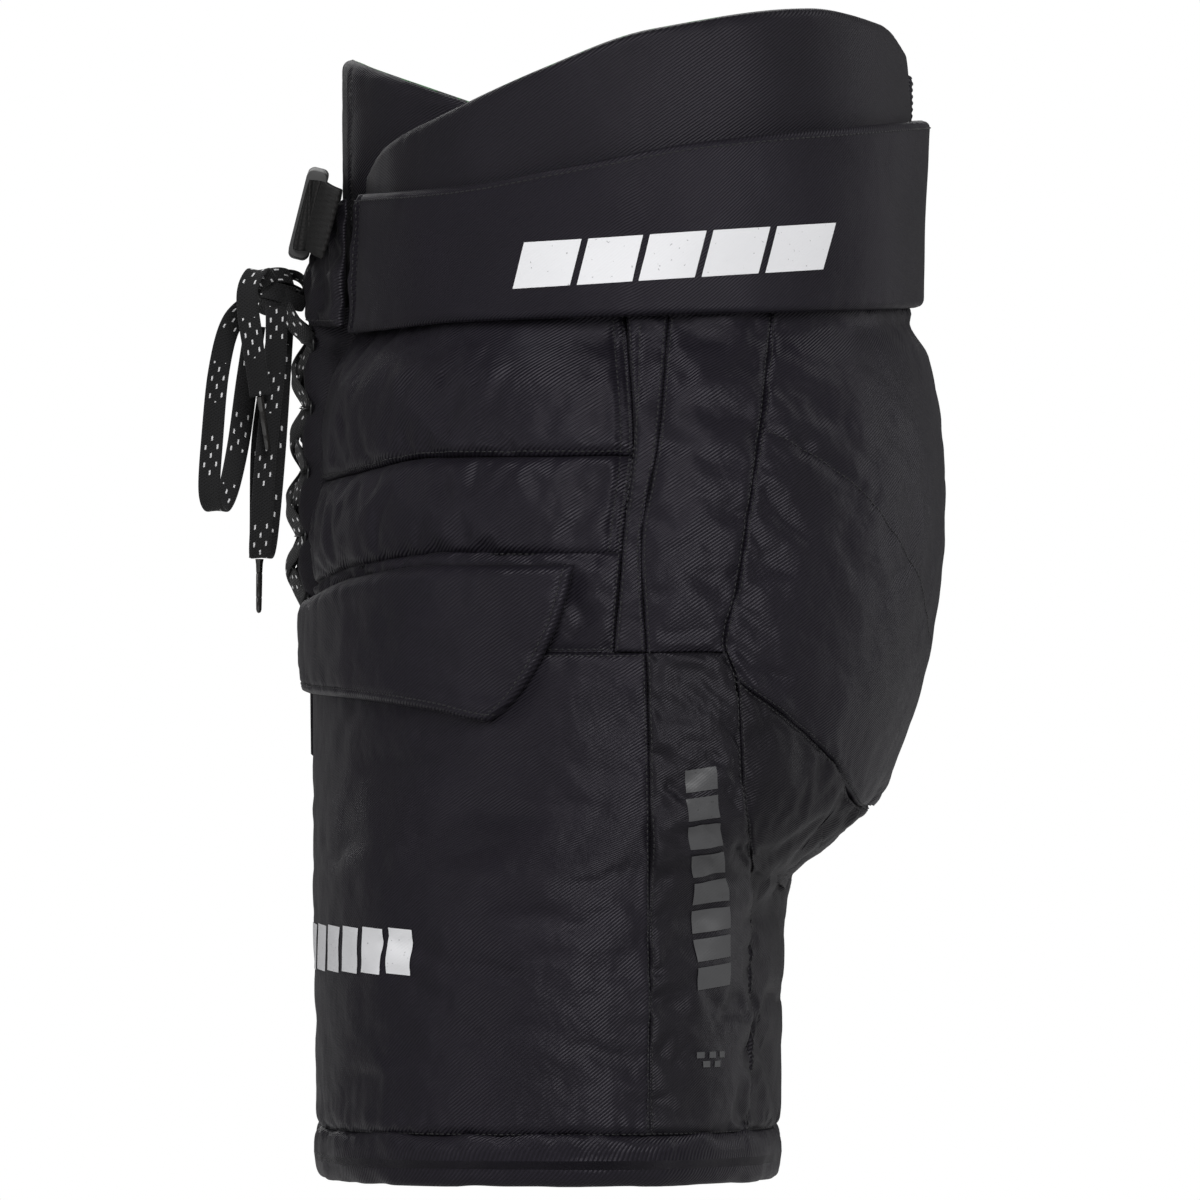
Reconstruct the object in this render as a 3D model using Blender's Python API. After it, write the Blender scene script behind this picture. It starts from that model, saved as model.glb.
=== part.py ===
"""Ice-hockey goalie pants in a youth size, standing on their leg hems.

Metres, +Z up. The front faces -Y and the wearer's left is +X. Every padded piece is a
slab laid on one smooth shell, which is a rounded half section swept up the height.
"""

import math

import bmesh
import bpy
from mathutils import Matrix, Vector

# Driving dimensions of the shell: each line is (height, value), smoothed between stations.
FRONT_STATIONS = (
    (0.000, -0.1190),
    (0.190, -0.1210),
    (0.226, -0.1215),
    (0.252, -0.1260),
    (0.285, -0.1225),
    (0.320, -0.1170),
    (0.345, -0.1065),
    (0.396, -0.1040),
    (0.472, -0.1010),
)
BACK_STATIONS = (
    (0.000, 0.0660),
    (0.105, 0.0670),
    (0.122, 0.0710),
    (0.137, 0.0900),
    (0.150, 0.1050),
    (0.170, 0.1140),
    (0.216, 0.1270),
    (0.268, 0.1325),
    (0.311, 0.1300),
    (0.330, 0.1260),
    (0.345, 0.1190),
    (0.430, 0.1215),
    (0.472, 0.1180),
)
SIDE_STATIONS = (
    (0.000, 0.2030),
    (0.100, 0.2000),
    (0.214, 0.1930),
    (0.280, 0.1850),
    (0.320, 0.1720),
    (0.345, 0.1570),
    (0.400, 0.1520),
    (0.472, 0.1430),
)
# Where the front and back of a leg leave the centre plane below the crotch.
MEET_FOOT_X = 0.0550
MEET_KNEE = (0.1480, 0.0165)
MEET_TOP = (0.1700, 0.0015)
INNER_STATIONS = ((0.000, 0.0100), (0.146, 0.0035))
SHELL_ROUNDNESS = 2.4

# Seams. Upright seams are (height, y); lying seams are (y, height).
SIDE_SEAM = ((0.000, 0.0155), (0.128, 0.0150), (0.214, 0.0130), (0.255, 0.0110), (0.300, 0.0180), (0.347, 0.0220))
REAR_SEAM = ((0.000, 0.0550), (0.128, 0.0560), (0.158, 0.0530), (0.203, 0.0500), (0.218, 0.0450), (0.240, 0.0500))
REAR_SEAM += ((0.273, 0.0550), (0.309, 0.0600), (0.347, 0.0640))
BAND_END_SEAM = ((0.214, 0.0000), (0.262, 0.0040), (0.300, 0.0080), (0.347, 0.0050))
SEAT_SEAM = ((0.040, 0.2150), (0.050, 0.2030), (0.072, 0.1860), (0.090, 0.1680), (0.101, 0.1490), (0.140, 0.1480))
BAND_SPLIT = ((-0.130, 0.2790), (-0.114, 0.2840), (-0.075, 0.2930), (0.010, 0.2945))
BAND_FOOT = ((-0.130, 0.2290), (-0.118, 0.2400), (-0.104, 0.2460), (-0.065, 0.2520), (0.010, 0.2520))
BELT_TOP = ((-0.112, 0.3955), (-0.060, 0.4000), (-0.018, 0.4080), (0.035, 0.4180), (0.105, 0.4250), (0.130, 0.4270))
BELT_FOOT = ((-0.112, 0.3380), (-0.090, 0.3410), (-0.060, 0.3450), (0.000, 0.3475), (0.130, 0.3510))
PAD_TOP = ((-0.112, 0.3940), (-0.098, 0.4130), (-0.070, 0.4300), (-0.030, 0.4480), (0.016, 0.4640), (0.082, 0.4720))
PAD_TOP += ((0.110, 0.4660), (0.123, 0.4500))
FLAP_TOP = ((-0.135, 0.2240), (-0.118, 0.2360), (-0.104, 0.2430), (-0.065, 0.2490), (0.000, 0.2490))
FLAP_FOOT = ((-0.135, 0.1960), (-0.100, 0.1940), (-0.070, 0.1900), (-0.050, 0.1860), (-0.030, 0.1860))
FLAP_REAR = ((0.186, -0.0480), (0.193, -0.0400), (0.204, -0.0320), (0.227, -0.0210), (0.250, -0.0150))
FLAP_FRONT_X = 0.0300

LEG_TOP_Z = 0.2135
WAIST_FOOT_Z = 0.2145
PELVIS_TOP_Z = 0.3420
PAD_FOOT_Z = 0.3435
CROTCH_Z = 0.1410
HEM_TOP_Z = 0.0210
LEG_FOOT_Z = 0.0220
SEAM_GAP = 0.0005
BELT_FRONT_X = 0.0600
FLY_X = 0.0225
SPINE_X = 0.0240

# Depths below the shell, outer face first; a negative depth stands proud of it.
SKIN = (0.0, 0.0060)
BAND = (0.0, 0.0130)
SEAT = (0.0, 0.0100)
KIDNEY = (0.0, 0.0090)
BELT = (-0.0070, -0.0010)
YOKE = (0.0028, 0.0060)
INNER = (0.0, 0.0030)
PLATE = (0.0070, 0.0090)
FOAM = (0.0100, 0.0180)
HEM = (-0.0010, 0.0090)
FLAP = (-0.0072, -0.0012)
TAIL_PLATE = (0.0112, 0.0132)
TAIL_FOAM = (0.0142, 0.0222)

# Joint places.
HIP_AXIS = Vector((0.0, -0.1260, 0.2450))
BELLY_AXIS = Vector((0.0, -0.1050, 0.3475))

# Belly pad: an upright arc of foam behind the fly.
BELLY_RADIUS = 0.0880
BELLY_CENTRE_Y = -0.0220
BELLY_HALF_ANGLE = math.radians(68)
BELLY_THICKNESS = 0.0090
BELLY_FOOT_Z = 0.3475
BELLY_TIP_Z = 0.4510
BELLY_CORNER_Z = 0.4320

# Side-release buckle: local X along the belt, local Z up its tilted face.
BUCKLE_CENTRE = Vector((0.0, -0.1236, 0.3885))
BUCKLE_TILT = math.radians(-14)
BUCKLE_HALF_HEIGHT = 0.0190
BUCKLE_HALF_THICKNESS = 0.0042
SOCKET_X = (-0.0340, 0.0035)
PLUG_X = (0.0040, 0.0340)
POCKET_DEPTH = 0.0280
POCKET_HALF_HEIGHT = 0.0158
POCKET_HALF_THICKNESS = 0.0024
PRONG_LENGTH = 0.0240
PRONG_HEIGHT = 0.0045
PRONG_HALF_THICKNESS = 0.0019
PRONG_TOP = 0.0150
WEBBING_HALF_WIDTH = 0.0150
WEBBING_THICKNESS = 0.0016

# Flat lace.
LACE_WIDTH = 0.0090
LACE_THICKNESS = 0.0016
AGLET_LENGTH = 0.0220
AGLET_RADIUS = 0.0014
KNOT_CENTRE = Vector((0.0, -0.1365, 0.3560))
LOOP_A = ((0.0030, -0.1455, 0.3530), (0.0070, -0.1550, 0.3440), (0.0090, -0.1600, 0.3250), (0.0090, -0.1625, 0.2980))
LOOP_A += ((0.0070, -0.1635, 0.2760), (0.0010, -0.1605, 0.2690), (-0.0040, -0.1565, 0.2760))
LOOP_A += ((-0.0060, -0.1520, 0.2960), (-0.0060, -0.1485, 0.3200), (-0.0045, -0.1450, 0.3430))
LOOP_B = ((0.0080, -0.1360, 0.3440), (0.0110, -0.1375, 0.3250), (0.0120, -0.1410, 0.2900), (0.0100, -0.1430, 0.2570))
LOOP_B += ((0.0050, -0.1425, 0.2500), (-0.0005, -0.1405, 0.2570), (-0.0020, -0.1375, 0.2900), (-0.0010, -0.1340, 0.3420))
TAIL_LONG = ((-0.0080, -0.1350, 0.3440), (-0.0110, -0.1390, 0.3200), (-0.0110, -0.1430, 0.2900), (-0.0100, -0.1435, 0.2490))
TAIL_SHORT = ((0.0090, -0.1400, 0.3600), (0.0150, -0.1440, 0.3650), (0.0200, -0.1480, 0.3560), (0.0205, -0.1460, 0.3350))
TAIL_SHORT += ((0.0195, -0.1430, 0.3150),)

# The fly's placket and strip: the middle's y at each height, and their ends.
PLACKET_MIDDLE = ((0.343, -0.1235), (0.365, -0.1215), (0.380, -0.1185), (0.396, -0.1155))
PLACKET_EDGE_Y = -0.1105
PLACKET_Z = (0.3435, 0.3955)
FLY_THICKNESS = 0.0035
STRIP_MIDDLE = ((0.216, -0.1185), (0.250, -0.1215), (0.300, -0.1195), (0.342, -0.1185))

# The cross lacing down the fly: its rows' heights, its half width and each lace's y.
LACING_ROWS = (0.336, 0.310, 0.284, 0.258, 0.232)
LACING_HALF_WIDTH = 0.0170
LACING_Y = (-0.1262, -0.1292)

# The guards: the front edge and height range of each plate.
HIP_PLATE_Z = (0.228, 0.334)
HIP_PLATE_FRONT_Y = (0.0080, 0.0100)
HIP_PLATE_STEP_Z = 0.30
TAIL_HALF_WIDTH = 0.0560
TAIL_Z = (0.1900, 0.3000)
THIGH_PLATE_FRONT_X = 0.075
THIGH_PLATE_Z = (0.034, 0.206)
GUARD_GAP = 0.006

SPINE_Z = (0.3440, 0.4460)
SPINE = (0.0008, 0.0105)
GUSSET_BOX = ((-0.0340, -0.1060, 0.1485), (0.0340, 0.0600, 0.1515))
WEBBING_END = (0.0660, -0.1146, 0.3830)
HEM_SECTION_Z = 0.0105

MATERIALS = {
    "nylon": ((0.022, 0.021, 0.025), 0.62, 0.0),
    "nylon_soft": ((0.026, 0.025, 0.028), 0.70, 0.0),
    "foam": ((0.060, 0.060, 0.065), 0.90, 0.0),
    "guard_plastic": ((0.080, 0.085, 0.090), 0.45, 0.0),
    "buckle_plastic": ((0.015, 0.015, 0.016), 0.25, 0.0),
    "webbing": ((0.018, 0.018, 0.019), 0.80, 0.0),
    "lace": ((0.012, 0.012, 0.013), 0.85, 0.0),
    "aglet": ((0.030, 0.030, 0.030), 0.20, 0.0),
}


def smooth_line(stations):
    """A curve through (input, output) stations that never overshoots them."""
    steps = list(zip(stations, stations[1:]))
    slopes = [(b[1] - a[1]) / (b[0] - a[0]) for a, b in steps]
    tangents = [slopes[0]]
    for before, after in zip(slopes, slopes[1:]):
        same_way = before * after > 0
        tangents.append(2 * before * after / (before + after) if same_way else 0.0)
    tangents.append(slopes[-1])

    def value(at):
        at = min(max(at, stations[0][0]), stations[-1][0])
        for index, (a, b) in enumerate(steps):
            if at <= b[0]:
                break
        span = b[0] - a[0]
        t = (at - a[0]) / span
        start = (1 + 2 * t) * (1 - t) ** 2 * a[1] + t * (1 - t) ** 2 * span * tangents[index]
        end = t * t * (3 - 2 * t) * b[1] + t * t * (t - 1) * span * tangents[index + 1]
        return start + end

    return value


FRONT_Y = smooth_line(FRONT_STATIONS)
BACK_Y = smooth_line(BACK_STATIONS)
SIDE_X = smooth_line(SIDE_STATIONS)
INNER_X = smooth_line(INNER_STATIONS)


def meet_line(z):
    """Two straight runs, steep near the crotch, up to the centre plane."""
    knee_z, knee_x = MEET_KNEE
    top_z, top_x = MEET_TOP
    lower = MEET_FOOT_X + (knee_x - MEET_FOOT_X) * z / knee_z
    upper = knee_x + (top_x - knee_x) * (z - knee_z) / (top_z - knee_z)
    return max(top_x, min(lower, upper))


def section(z):
    """Centre y, half depth, side x and meeting x of the shell at one height."""
    front, back = FRONT_Y(z), BACK_Y(z)
    return (front + back) / 2, (back - front) / 2, SIDE_X(z), meet_line(z)


def rounded(value):
    return math.copysign(abs(value) ** (2 / SHELL_ROUNDNESS), value)


def shell_point(angle, z, inner=False):
    """The shell's left half at an angle from -90 (front) to 90 degrees (back)."""
    centre_y, half_depth, side_x, meet_x = section(z)
    reach = (INNER_X(z) if inner else side_x) - meet_x
    across = rounded(math.cos(angle))
    return Vector((meet_x + reach * across, centre_y + half_depth * rounded(math.sin(angle)), z))


def shell(angle, z, depth, inner=False):
    """A point at a depth below the shell, measured along its normal."""
    step = 0.002
    limit = math.pi / 2 - step
    middle = min(max(angle, -limit), limit)
    along = shell_point(middle + step, z, inner) - shell_point(middle - step, z, inner)
    up = shell_point(middle, z + step, inner) - shell_point(middle, z - step, inner)
    normal = along.cross(up).normalized()
    if inner:
        normal = -normal
    return shell_point(angle, z, inner) - normal * depth


def angle_at_y(y, z):
    centre_y, half_depth = section(z)[:2]
    share = min(max((y - centre_y) / half_depth, -1.0), 1.0)
    return math.asin(math.copysign(abs(share) ** (SHELL_ROUNDNESS / 2), share))


def angle_at_x(x, z, end=-1):
    """The angle where the shell passes x, on the front (end -1) or the back (end 1)."""
    side_x, meet_x = section(z)[2:]
    share = min(max((x - meet_x) / (side_x - meet_x), 0.0), 1.0)
    return end * math.acos(share ** (SHELL_ROUNDNESS / 2))


def upright(stations, shift=0.0):
    """An upright seam as an angle for each height, shifted along y to leave a gap."""
    line = smooth_line(stations)
    return lambda z: angle_at_y(line(z) + shift, z)


def lying(stations, shift=0.0):
    """A lying seam as a height for each y, shifted along z to leave a gap."""
    line = smooth_line(stations)
    return lambda y: line(y) + shift


def level(z):
    return lambda y: z


def inner_edge(end):
    """Where the inner thigh panel stops short of the front (end -1) or the rear panel."""

    def angle(z):
        meet_x = meet_line(z)
        share = 4 * SEAM_GAP / (meet_x - INNER_X(z))
        return end * math.acos(share ** (SHELL_ROUNDNESS / 2))

    return angle


def centre_line(end):
    return lambda z: end * math.pi / 2


def panel_place(start, stop, low, high, side, inner=False):
    """Gives the mapping from a unit square to a panel between four seams."""

    def place(u, v, depth):
        z = (low(0.0) + high(0.0)) / 2
        for _ in range(12):
            angle = start(z) + (stop(z) - start(z)) * u
            y = shell_point(angle, z, inner).y
            z = low(y) + (high(y) - low(y)) * v
        point = shell(angle, z, depth, inner)
        return Vector((point.x * side, point.y, point.z))

    return place


def face_outwards(bm):
    """Turns the faces of a closed bmesh so that its volume is positive."""
    bmesh.ops.recalc_face_normals(bm, faces=bm.faces)
    if bm.calc_volume(signed=True) < 0:
        bmesh.ops.reverse_faces(bm, faces=bm.faces)


class Body:
    """A rigid body: an empty on the joint's axis, which carries the body's pieces."""

    def __init__(self, name, pivot=(0.0, 0.0, 0.0), parent=None):
        self.pivot = Vector(pivot)
        self.empty = bpy.data.objects.new(name + "_pivot", None)
        self.empty.empty_display_size = 0.02
        bpy.context.scene.collection.objects.link(self.empty)
        if parent:
            self.empty.parent = parent.empty
            self.empty.location = self.pivot - parent.pivot
        else:
            self.empty.location = self.pivot

    def add(self, name, bm, material):
        """Turns a bmesh in world coordinates into an object under this body's empty."""
        face_outwards(bm)
        bmesh.ops.translate(bm, verts=bm.verts, vec=-self.pivot)
        mesh = bpy.data.meshes.new(name)
        bm.to_mesh(mesh)
        bm.free()
        mesh.materials.append(bpy.data.materials[material])
        mesh.shade_smooth()
        mesh.set_sharp_from_angle(angle=math.radians(40))
        obj = bpy.data.objects.new(name, mesh)
        bpy.context.scene.collection.objects.link(obj)
        obj.parent = self.empty
        return obj


def make_materials():
    for name, (colour, roughness, metallic) in MATERIALS.items():
        material = bpy.data.materials.new(name)
        material.use_nodes = True
        shader = material.node_tree.nodes["Principled BSDF"]
        shader.inputs["Base Color"].default_value = (*colour, 1.0)
        shader.inputs["Roughness"].default_value = roughness
        shader.inputs["Metallic"].default_value = metallic


def slab(place, depths, columns, rows):
    """A closed slab between two depths: a grid, extruded, then bent by place(u, v, depth)."""
    bm = bmesh.new()
    bmesh.ops.create_grid(bm, x_segments=columns, y_segments=rows, size=0.5)
    grown = bmesh.ops.extrude_face_region(bm, geom=bm.faces[:], use_keep_orig=True)
    for item in grown["geom"]:
        if isinstance(item, bmesh.types.BMVert):
            item.co.z = 1.0
    for vertex in bm.verts:
        u, v, layer = vertex.co.x + 0.5, vertex.co.y + 0.5, vertex.co.z
        vertex.co = place(u, v, depths[0] + (depths[1] - depths[0]) * layer)
    return bm


def box(low, high):
    """A closed box between two corners."""
    low, high = Vector(low), Vector(high)
    size = high - low
    bm = bmesh.new()
    placed = Matrix.Translation((low + high) / 2) @ Matrix.Diagonal((*size, 1.0))
    bmesh.ops.create_cube(bm, size=1.0, matrix=placed)
    return bm


def smooth_route(points, steps):
    """Points along a Catmull-Rom curve through a short hand-chosen route."""
    points = [Vector(point) for point in points]
    ends = [2 * points[0] - points[1], *points, 2 * points[-1] - points[-2]]
    route = []
    for index in range(len(points) - 1):
        a, b, c, d = ends[index : index + 4]
        for step in range(steps):
            t = step / steps
            curve = (c - a) * t + (2 * a - 5 * b + 4 * c - d) * t**2 + (3 * b - a - 3 * c + d) * t**3
            route.append(b + curve / 2)
    return [*route, points[-1]]


def ribbon(route, width, thickness, across=(0.0, 1.0, 0.0)):
    """A flat band swept along a route, with its width kept as near to `across` as it can."""
    bm = bmesh.new()
    rings = []
    for index, point in enumerate(route):
        ahead = route[min(index + 1, len(route) - 1)]
        behind = route[max(index - 1, 0)]
        along = (ahead - behind).normalized()
        wide = (Vector(across) - along * along.dot(Vector(across))).normalized()
        thick = along.cross(wide)
        corners = ((-1, -1), (1, -1), (1, 1), (-1, 1))
        ring = [point + wide * (a * width / 2) + thick * (b * thickness / 2) for a, b in corners]
        rings.append([bm.verts.new(corner) for corner in ring])
    for first, second in zip(rings, rings[1:]):
        for index in range(4):
            following = (index + 1) % 4
            bm.faces.new((first[index], first[following], second[following], second[index]))
    bm.faces.new(reversed(rings[0]))
    bm.faces.new(rings[-1])
    return bm


def in_buckle(bm):
    """Moves a bmesh from the buckle's own axes to its tilted place on the fly."""
    placed = Matrix.Translation(BUCKLE_CENTRE) @ Matrix.Rotation(BUCKLE_TILT, 4, "X")
    bmesh.ops.transform(bm, verts=bm.verts, matrix=placed)
    return bm


def cut(target, cutter_bm):
    """Cuts one box out of an object with a Boolean, and leaves the cutter hidden."""
    mesh = bpy.data.meshes.new(target.name + "_cutter")
    face_outwards(cutter_bm)
    cutter_bm.to_mesh(mesh)
    cutter_bm.free()
    cutter = bpy.data.objects.new(target.name + "_cutter", mesh)
    bpy.context.scene.collection.objects.link(cutter)
    cutter.hide_render = True
    cutter.display_type = "WIRE"
    modifier = target.modifiers.new("cut", "BOOLEAN")
    modifier.operation = "DIFFERENCE"
    modifier.object = cutter


def side_name(name, side):
    return name + ("_left" if side > 0 else "_right")


def make_waist_pads(waist, side):
    """The kidney pad, the belt over it and the placket of the fly."""
    place = panel_place(
        lambda z: angle_at_x(BELT_FRONT_X, z),
        lambda z: angle_at_x(SPINE_X + 0.0015, z, 1),
        level(PAD_FOOT_Z),
        lying(PAD_TOP),
        side,
    )
    waist.add(side_name("kidney_pad", side), slab(place, KIDNEY, 12, 5), "nylon")
    place = panel_place(
        lambda z: angle_at_x(BELT_FRONT_X, z), centre_line(1), lying(BELT_FOOT), lying(BELT_TOP), side
    )
    waist.add(side_name("waist_belt", side), slab(place, BELT, 14, 2), "nylon")

    middle_y = smooth_line(PLACKET_MIDDLE)

    def placket(u, v, depth):
        z = PLACKET_Z[0] + (PLACKET_Z[1] - PLACKET_Z[0]) * v
        x = 2 * SEAM_GAP + (BELT_FRONT_X - 4 * SEAM_GAP) * u
        y = middle_y(z) + (PLACKET_EDGE_Y - middle_y(z)) * u * u
        return Vector((x * side, y + depth, z))

    waist.add(side_name("fly_placket", side), slab(placket, (0.0, FLY_THICKNESS), 5, 4), "nylon_soft")

    strip_y = smooth_line(STRIP_MIDDLE)

    def strip(u, v, depth):
        z = WAIST_FOOT_Z + 0.0015 + (PELVIS_TOP_Z - WAIST_FOOT_Z - 0.0020) * v
        return Vector(((2 * SEAM_GAP + (FLY_X - 2 * SEAM_GAP) * u) * side, strip_y(z) + depth, z))

    waist.add(side_name("fly_strip", side), slab(strip, (0.0, FLY_THICKNESS), 2, 6), "nylon_soft")


def make_pelvis_panels(waist, side):
    """The front bands, the strip behind them, the hip, the seat and the yoke under the flap."""

    def fly_edge(z):
        return angle_at_x(FLY_X + 0.0012, z)

    def plate_front(z):
        return angle_at_y(HIP_PLATE_FRONT_Y[0] if z < HIP_PLATE_STEP_Z else HIP_PLATE_FRONT_Y[1], z)

    band_end = upright(BAND_END_SEAM, -SEAM_GAP)
    place = panel_place(fly_edge, band_end, lying(BAND_SPLIT, SEAM_GAP), level(PELVIS_TOP_Z), side)
    waist.add(side_name("front_band_upper", side), slab(place, BAND, 11, 3), "nylon")
    place = panel_place(fly_edge, band_end, lying(BAND_FOOT, SEAM_GAP), lying(BAND_SPLIT, -SEAM_GAP), side)
    waist.add(side_name("front_band_lower", side), slab(place, BAND, 11, 3), "nylon")
    place = panel_place(fly_edge, band_end, level(WAIST_FOOT_Z), lying(BAND_FOOT, -SEAM_GAP), side)
    waist.add(side_name("thigh_yoke", side), slab(place, YOKE, 11, 2), "nylon")
    place = panel_place(
        upright(BAND_END_SEAM, SEAM_GAP),
        upright(SIDE_SEAM, -SEAM_GAP),
        level(WAIST_FOOT_Z),
        level(PELVIS_TOP_Z),
        side,
    )
    waist.add(side_name("side_placket", side), slab(place, SKIN, 2, 7), "nylon_soft")
    rear = upright(REAR_SEAM, -2 * SEAM_GAP)
    place = panel_place(
        upright(SIDE_SEAM, SEAM_GAP), rear, level(WAIST_FOOT_Z + 0.001), level(PELVIS_TOP_Z), side
    )
    waist.add(side_name("hip_panel", side), slab(place, SKIN, 4, 7), "nylon")
    place = panel_place(
        upright(REAR_SEAM, SEAM_GAP), centre_line(1), lying(SEAT_SEAM, SEAM_GAP), level(PELVIS_TOP_Z), side
    )
    waist.add(side_name("seat_panel", side), slab(place, SEAT, 10, 9), "nylon")
    low, high = (level(z) for z in HIP_PLATE_Z)
    place = panel_place(plate_front, upright(REAR_SEAM, -4 * SEAM_GAP), low, high, side)
    waist.add(side_name("hip_plate", side), slab(place, PLATE, 4, 5), "guard_plastic")
    waist.add(side_name("hip_foam", side), slab(place, FOAM, 4, 5), "foam")


def make_centre_pieces(waist):
    """The spine pad, the tailbone guard and the crotch gusset, which cross the centre plane."""

    def across_back(half_width, low_z, high_z):
        def place(u, v, depth):
            x = half_width * (2 * u - 1)
            z = low_z + (high_z - low_z) * v
            point = shell(angle_at_x(max(abs(x), 0.0016), z, 1), z, depth)
            return Vector((x, point.y, point.z))

        return place

    waist.add("spine_pad", slab(across_back(SPINE_X, *SPINE_Z), SPINE, 6, 5), "nylon_soft")
    tail = across_back(TAIL_HALF_WIDTH, *TAIL_Z)
    waist.add("tailbone_plate", slab(tail, TAIL_PLATE, 8, 5), "guard_plastic")
    waist.add("tailbone_foam", slab(tail, TAIL_FOAM, 8, 5), "foam")
    waist.add("crotch_gusset", box(*GUSSET_BOX), "nylon_soft")


def make_belly_pad(belly):
    """An arc of foam that stands behind the fly, highest in the middle."""

    def place(u, v, depth):
        angle = BELLY_HALF_ANGLE * (2 * u - 1)
        radius = BELLY_RADIUS - depth
        fall = (BELLY_TIP_Z - BELLY_CORNER_Z) * (2 * u - 1) ** 2
        top = BELLY_TIP_Z - fall
        z = BELLY_FOOT_Z + (top - BELLY_FOOT_Z) * v
        return Vector((radius * math.sin(angle), BELLY_CENTRE_Y - radius * math.cos(angle), z))

    belly.add("belly_pad", slab(place, (0.0, BELLY_THICKNESS), 12, 4), "nylon")


def make_buckle(waist, plug, prongs):
    """The side-release buckle and the two webbing straps that it joins."""
    half = (BUCKLE_HALF_THICKNESS, BUCKLE_HALF_HEIGHT)
    socket_bm = in_buckle(box((SOCKET_X[0], -half[0], -half[1]), (SOCKET_X[1], half[0], half[1])))
    socket = waist.add("buckle_socket", socket_bm, "buckle_plastic")
    pocket_low = (SOCKET_X[1] - POCKET_DEPTH, -POCKET_HALF_THICKNESS, -POCKET_HALF_HEIGHT)
    pocket_high = (SOCKET_X[1] + 0.001, POCKET_HALF_THICKNESS, POCKET_HALF_HEIGHT)
    cut(socket, in_buckle(box(pocket_low, pocket_high)))
    plug_bm = in_buckle(box((PLUG_X[0], -half[0], -half[1]), (PLUG_X[1], half[0], half[1])))
    plug.add("buckle_plug", plug_bm, "buckle_plastic")
    for side, prong in prongs.items():
        heights = sorted((side * PRONG_TOP, side * (PRONG_TOP - PRONG_HEIGHT)))
        low = (PLUG_X[0] - 0.0003 - PRONG_LENGTH, -PRONG_HALF_THICKNESS, heights[0])
        high = (PLUG_X[0] - 0.0003, PRONG_HALF_THICKNESS, heights[1])
        name = "prong_upper" if side > 0 else "prong_lower"
        prong.add(name, in_buckle(box(low, high)), "buckle_plastic")
    tilt = Matrix.Rotation(BUCKLE_TILT, 3, "X") @ Vector((0.0, 0.0, 1.0))
    for side, body, name in ((1, plug, "webbing_left"), (-1, waist, "webbing_right")):
        start = BUCKLE_CENTRE + Vector((side * (PLUG_X[1] + 0.0018), 0.0, 0.0))
        stop = Vector((side * WEBBING_END[0], *WEBBING_END[1:]))
        route = [start + (stop - start) * (step / 4) for step in range(5)]
        strap = ribbon(route, 2 * WEBBING_HALF_WIDTH, WEBBING_THICKNESS, tilt)
        body.add(name, strap, "webbing")


def make_fly_lacing(waist):
    """Two flat laces that cross down the fly, one in front of the other."""
    for start, name, y in zip((1, -1), ("fly_lacing_a", "fly_lacing_b"), LACING_Y):
        corners = [Vector((LACING_HALF_WIDTH * start * (-1) ** row, y, z)) for row, z in enumerate(LACING_ROWS)]
        lace = ribbon(smooth_route(corners, 3), LACE_WIDTH * 0.8, LACE_THICKNESS, (0.0, 0.0, 1.0))
        waist.add(name, lace, "lace")


def make_bow(waist):
    """The knot of the waist lace with its two loops, two tails and their aglets."""
    knot = bmesh.new()
    shape = Matrix.Translation(KNOT_CENTRE) @ Matrix.Diagonal((0.0075, 0.0065, 0.0095, 1.0))
    bmesh.ops.create_icosphere(knot, subdivisions=2, radius=1.0, matrix=shape)
    waist.add("lace_knot", knot, "lace")
    routes = {
        "lace_loop_a": LOOP_A,
        "lace_loop_b": LOOP_B,
        "lace_tail_a": TAIL_LONG,
        "lace_tail_b": TAIL_SHORT,
    }
    for name, points in routes.items():
        waist.add(name, ribbon(smooth_route(points, 3), LACE_WIDTH, LACE_THICKNESS), "lace")
    for name, points in (("aglet_a", TAIL_LONG), ("aglet_b", TAIL_SHORT)):
        tip, before = Vector(points[-1]), Vector(points[-2])
        along = (tip - before).normalized()
        middle = tip + along * (0.0004 + AGLET_LENGTH / 2)
        turned = along.to_track_quat("Z", "Y").to_matrix().to_4x4()
        aglet = bmesh.new()
        bmesh.ops.create_cone(
            aglet,
            cap_ends=True,
            segments=8,
            radius1=AGLET_RADIUS,
            radius2=AGLET_RADIUS,
            depth=AGLET_LENGTH,
            matrix=Matrix.Translation(middle) @ turned,
        )
        waist.add(name, aglet, "aglet")


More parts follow.
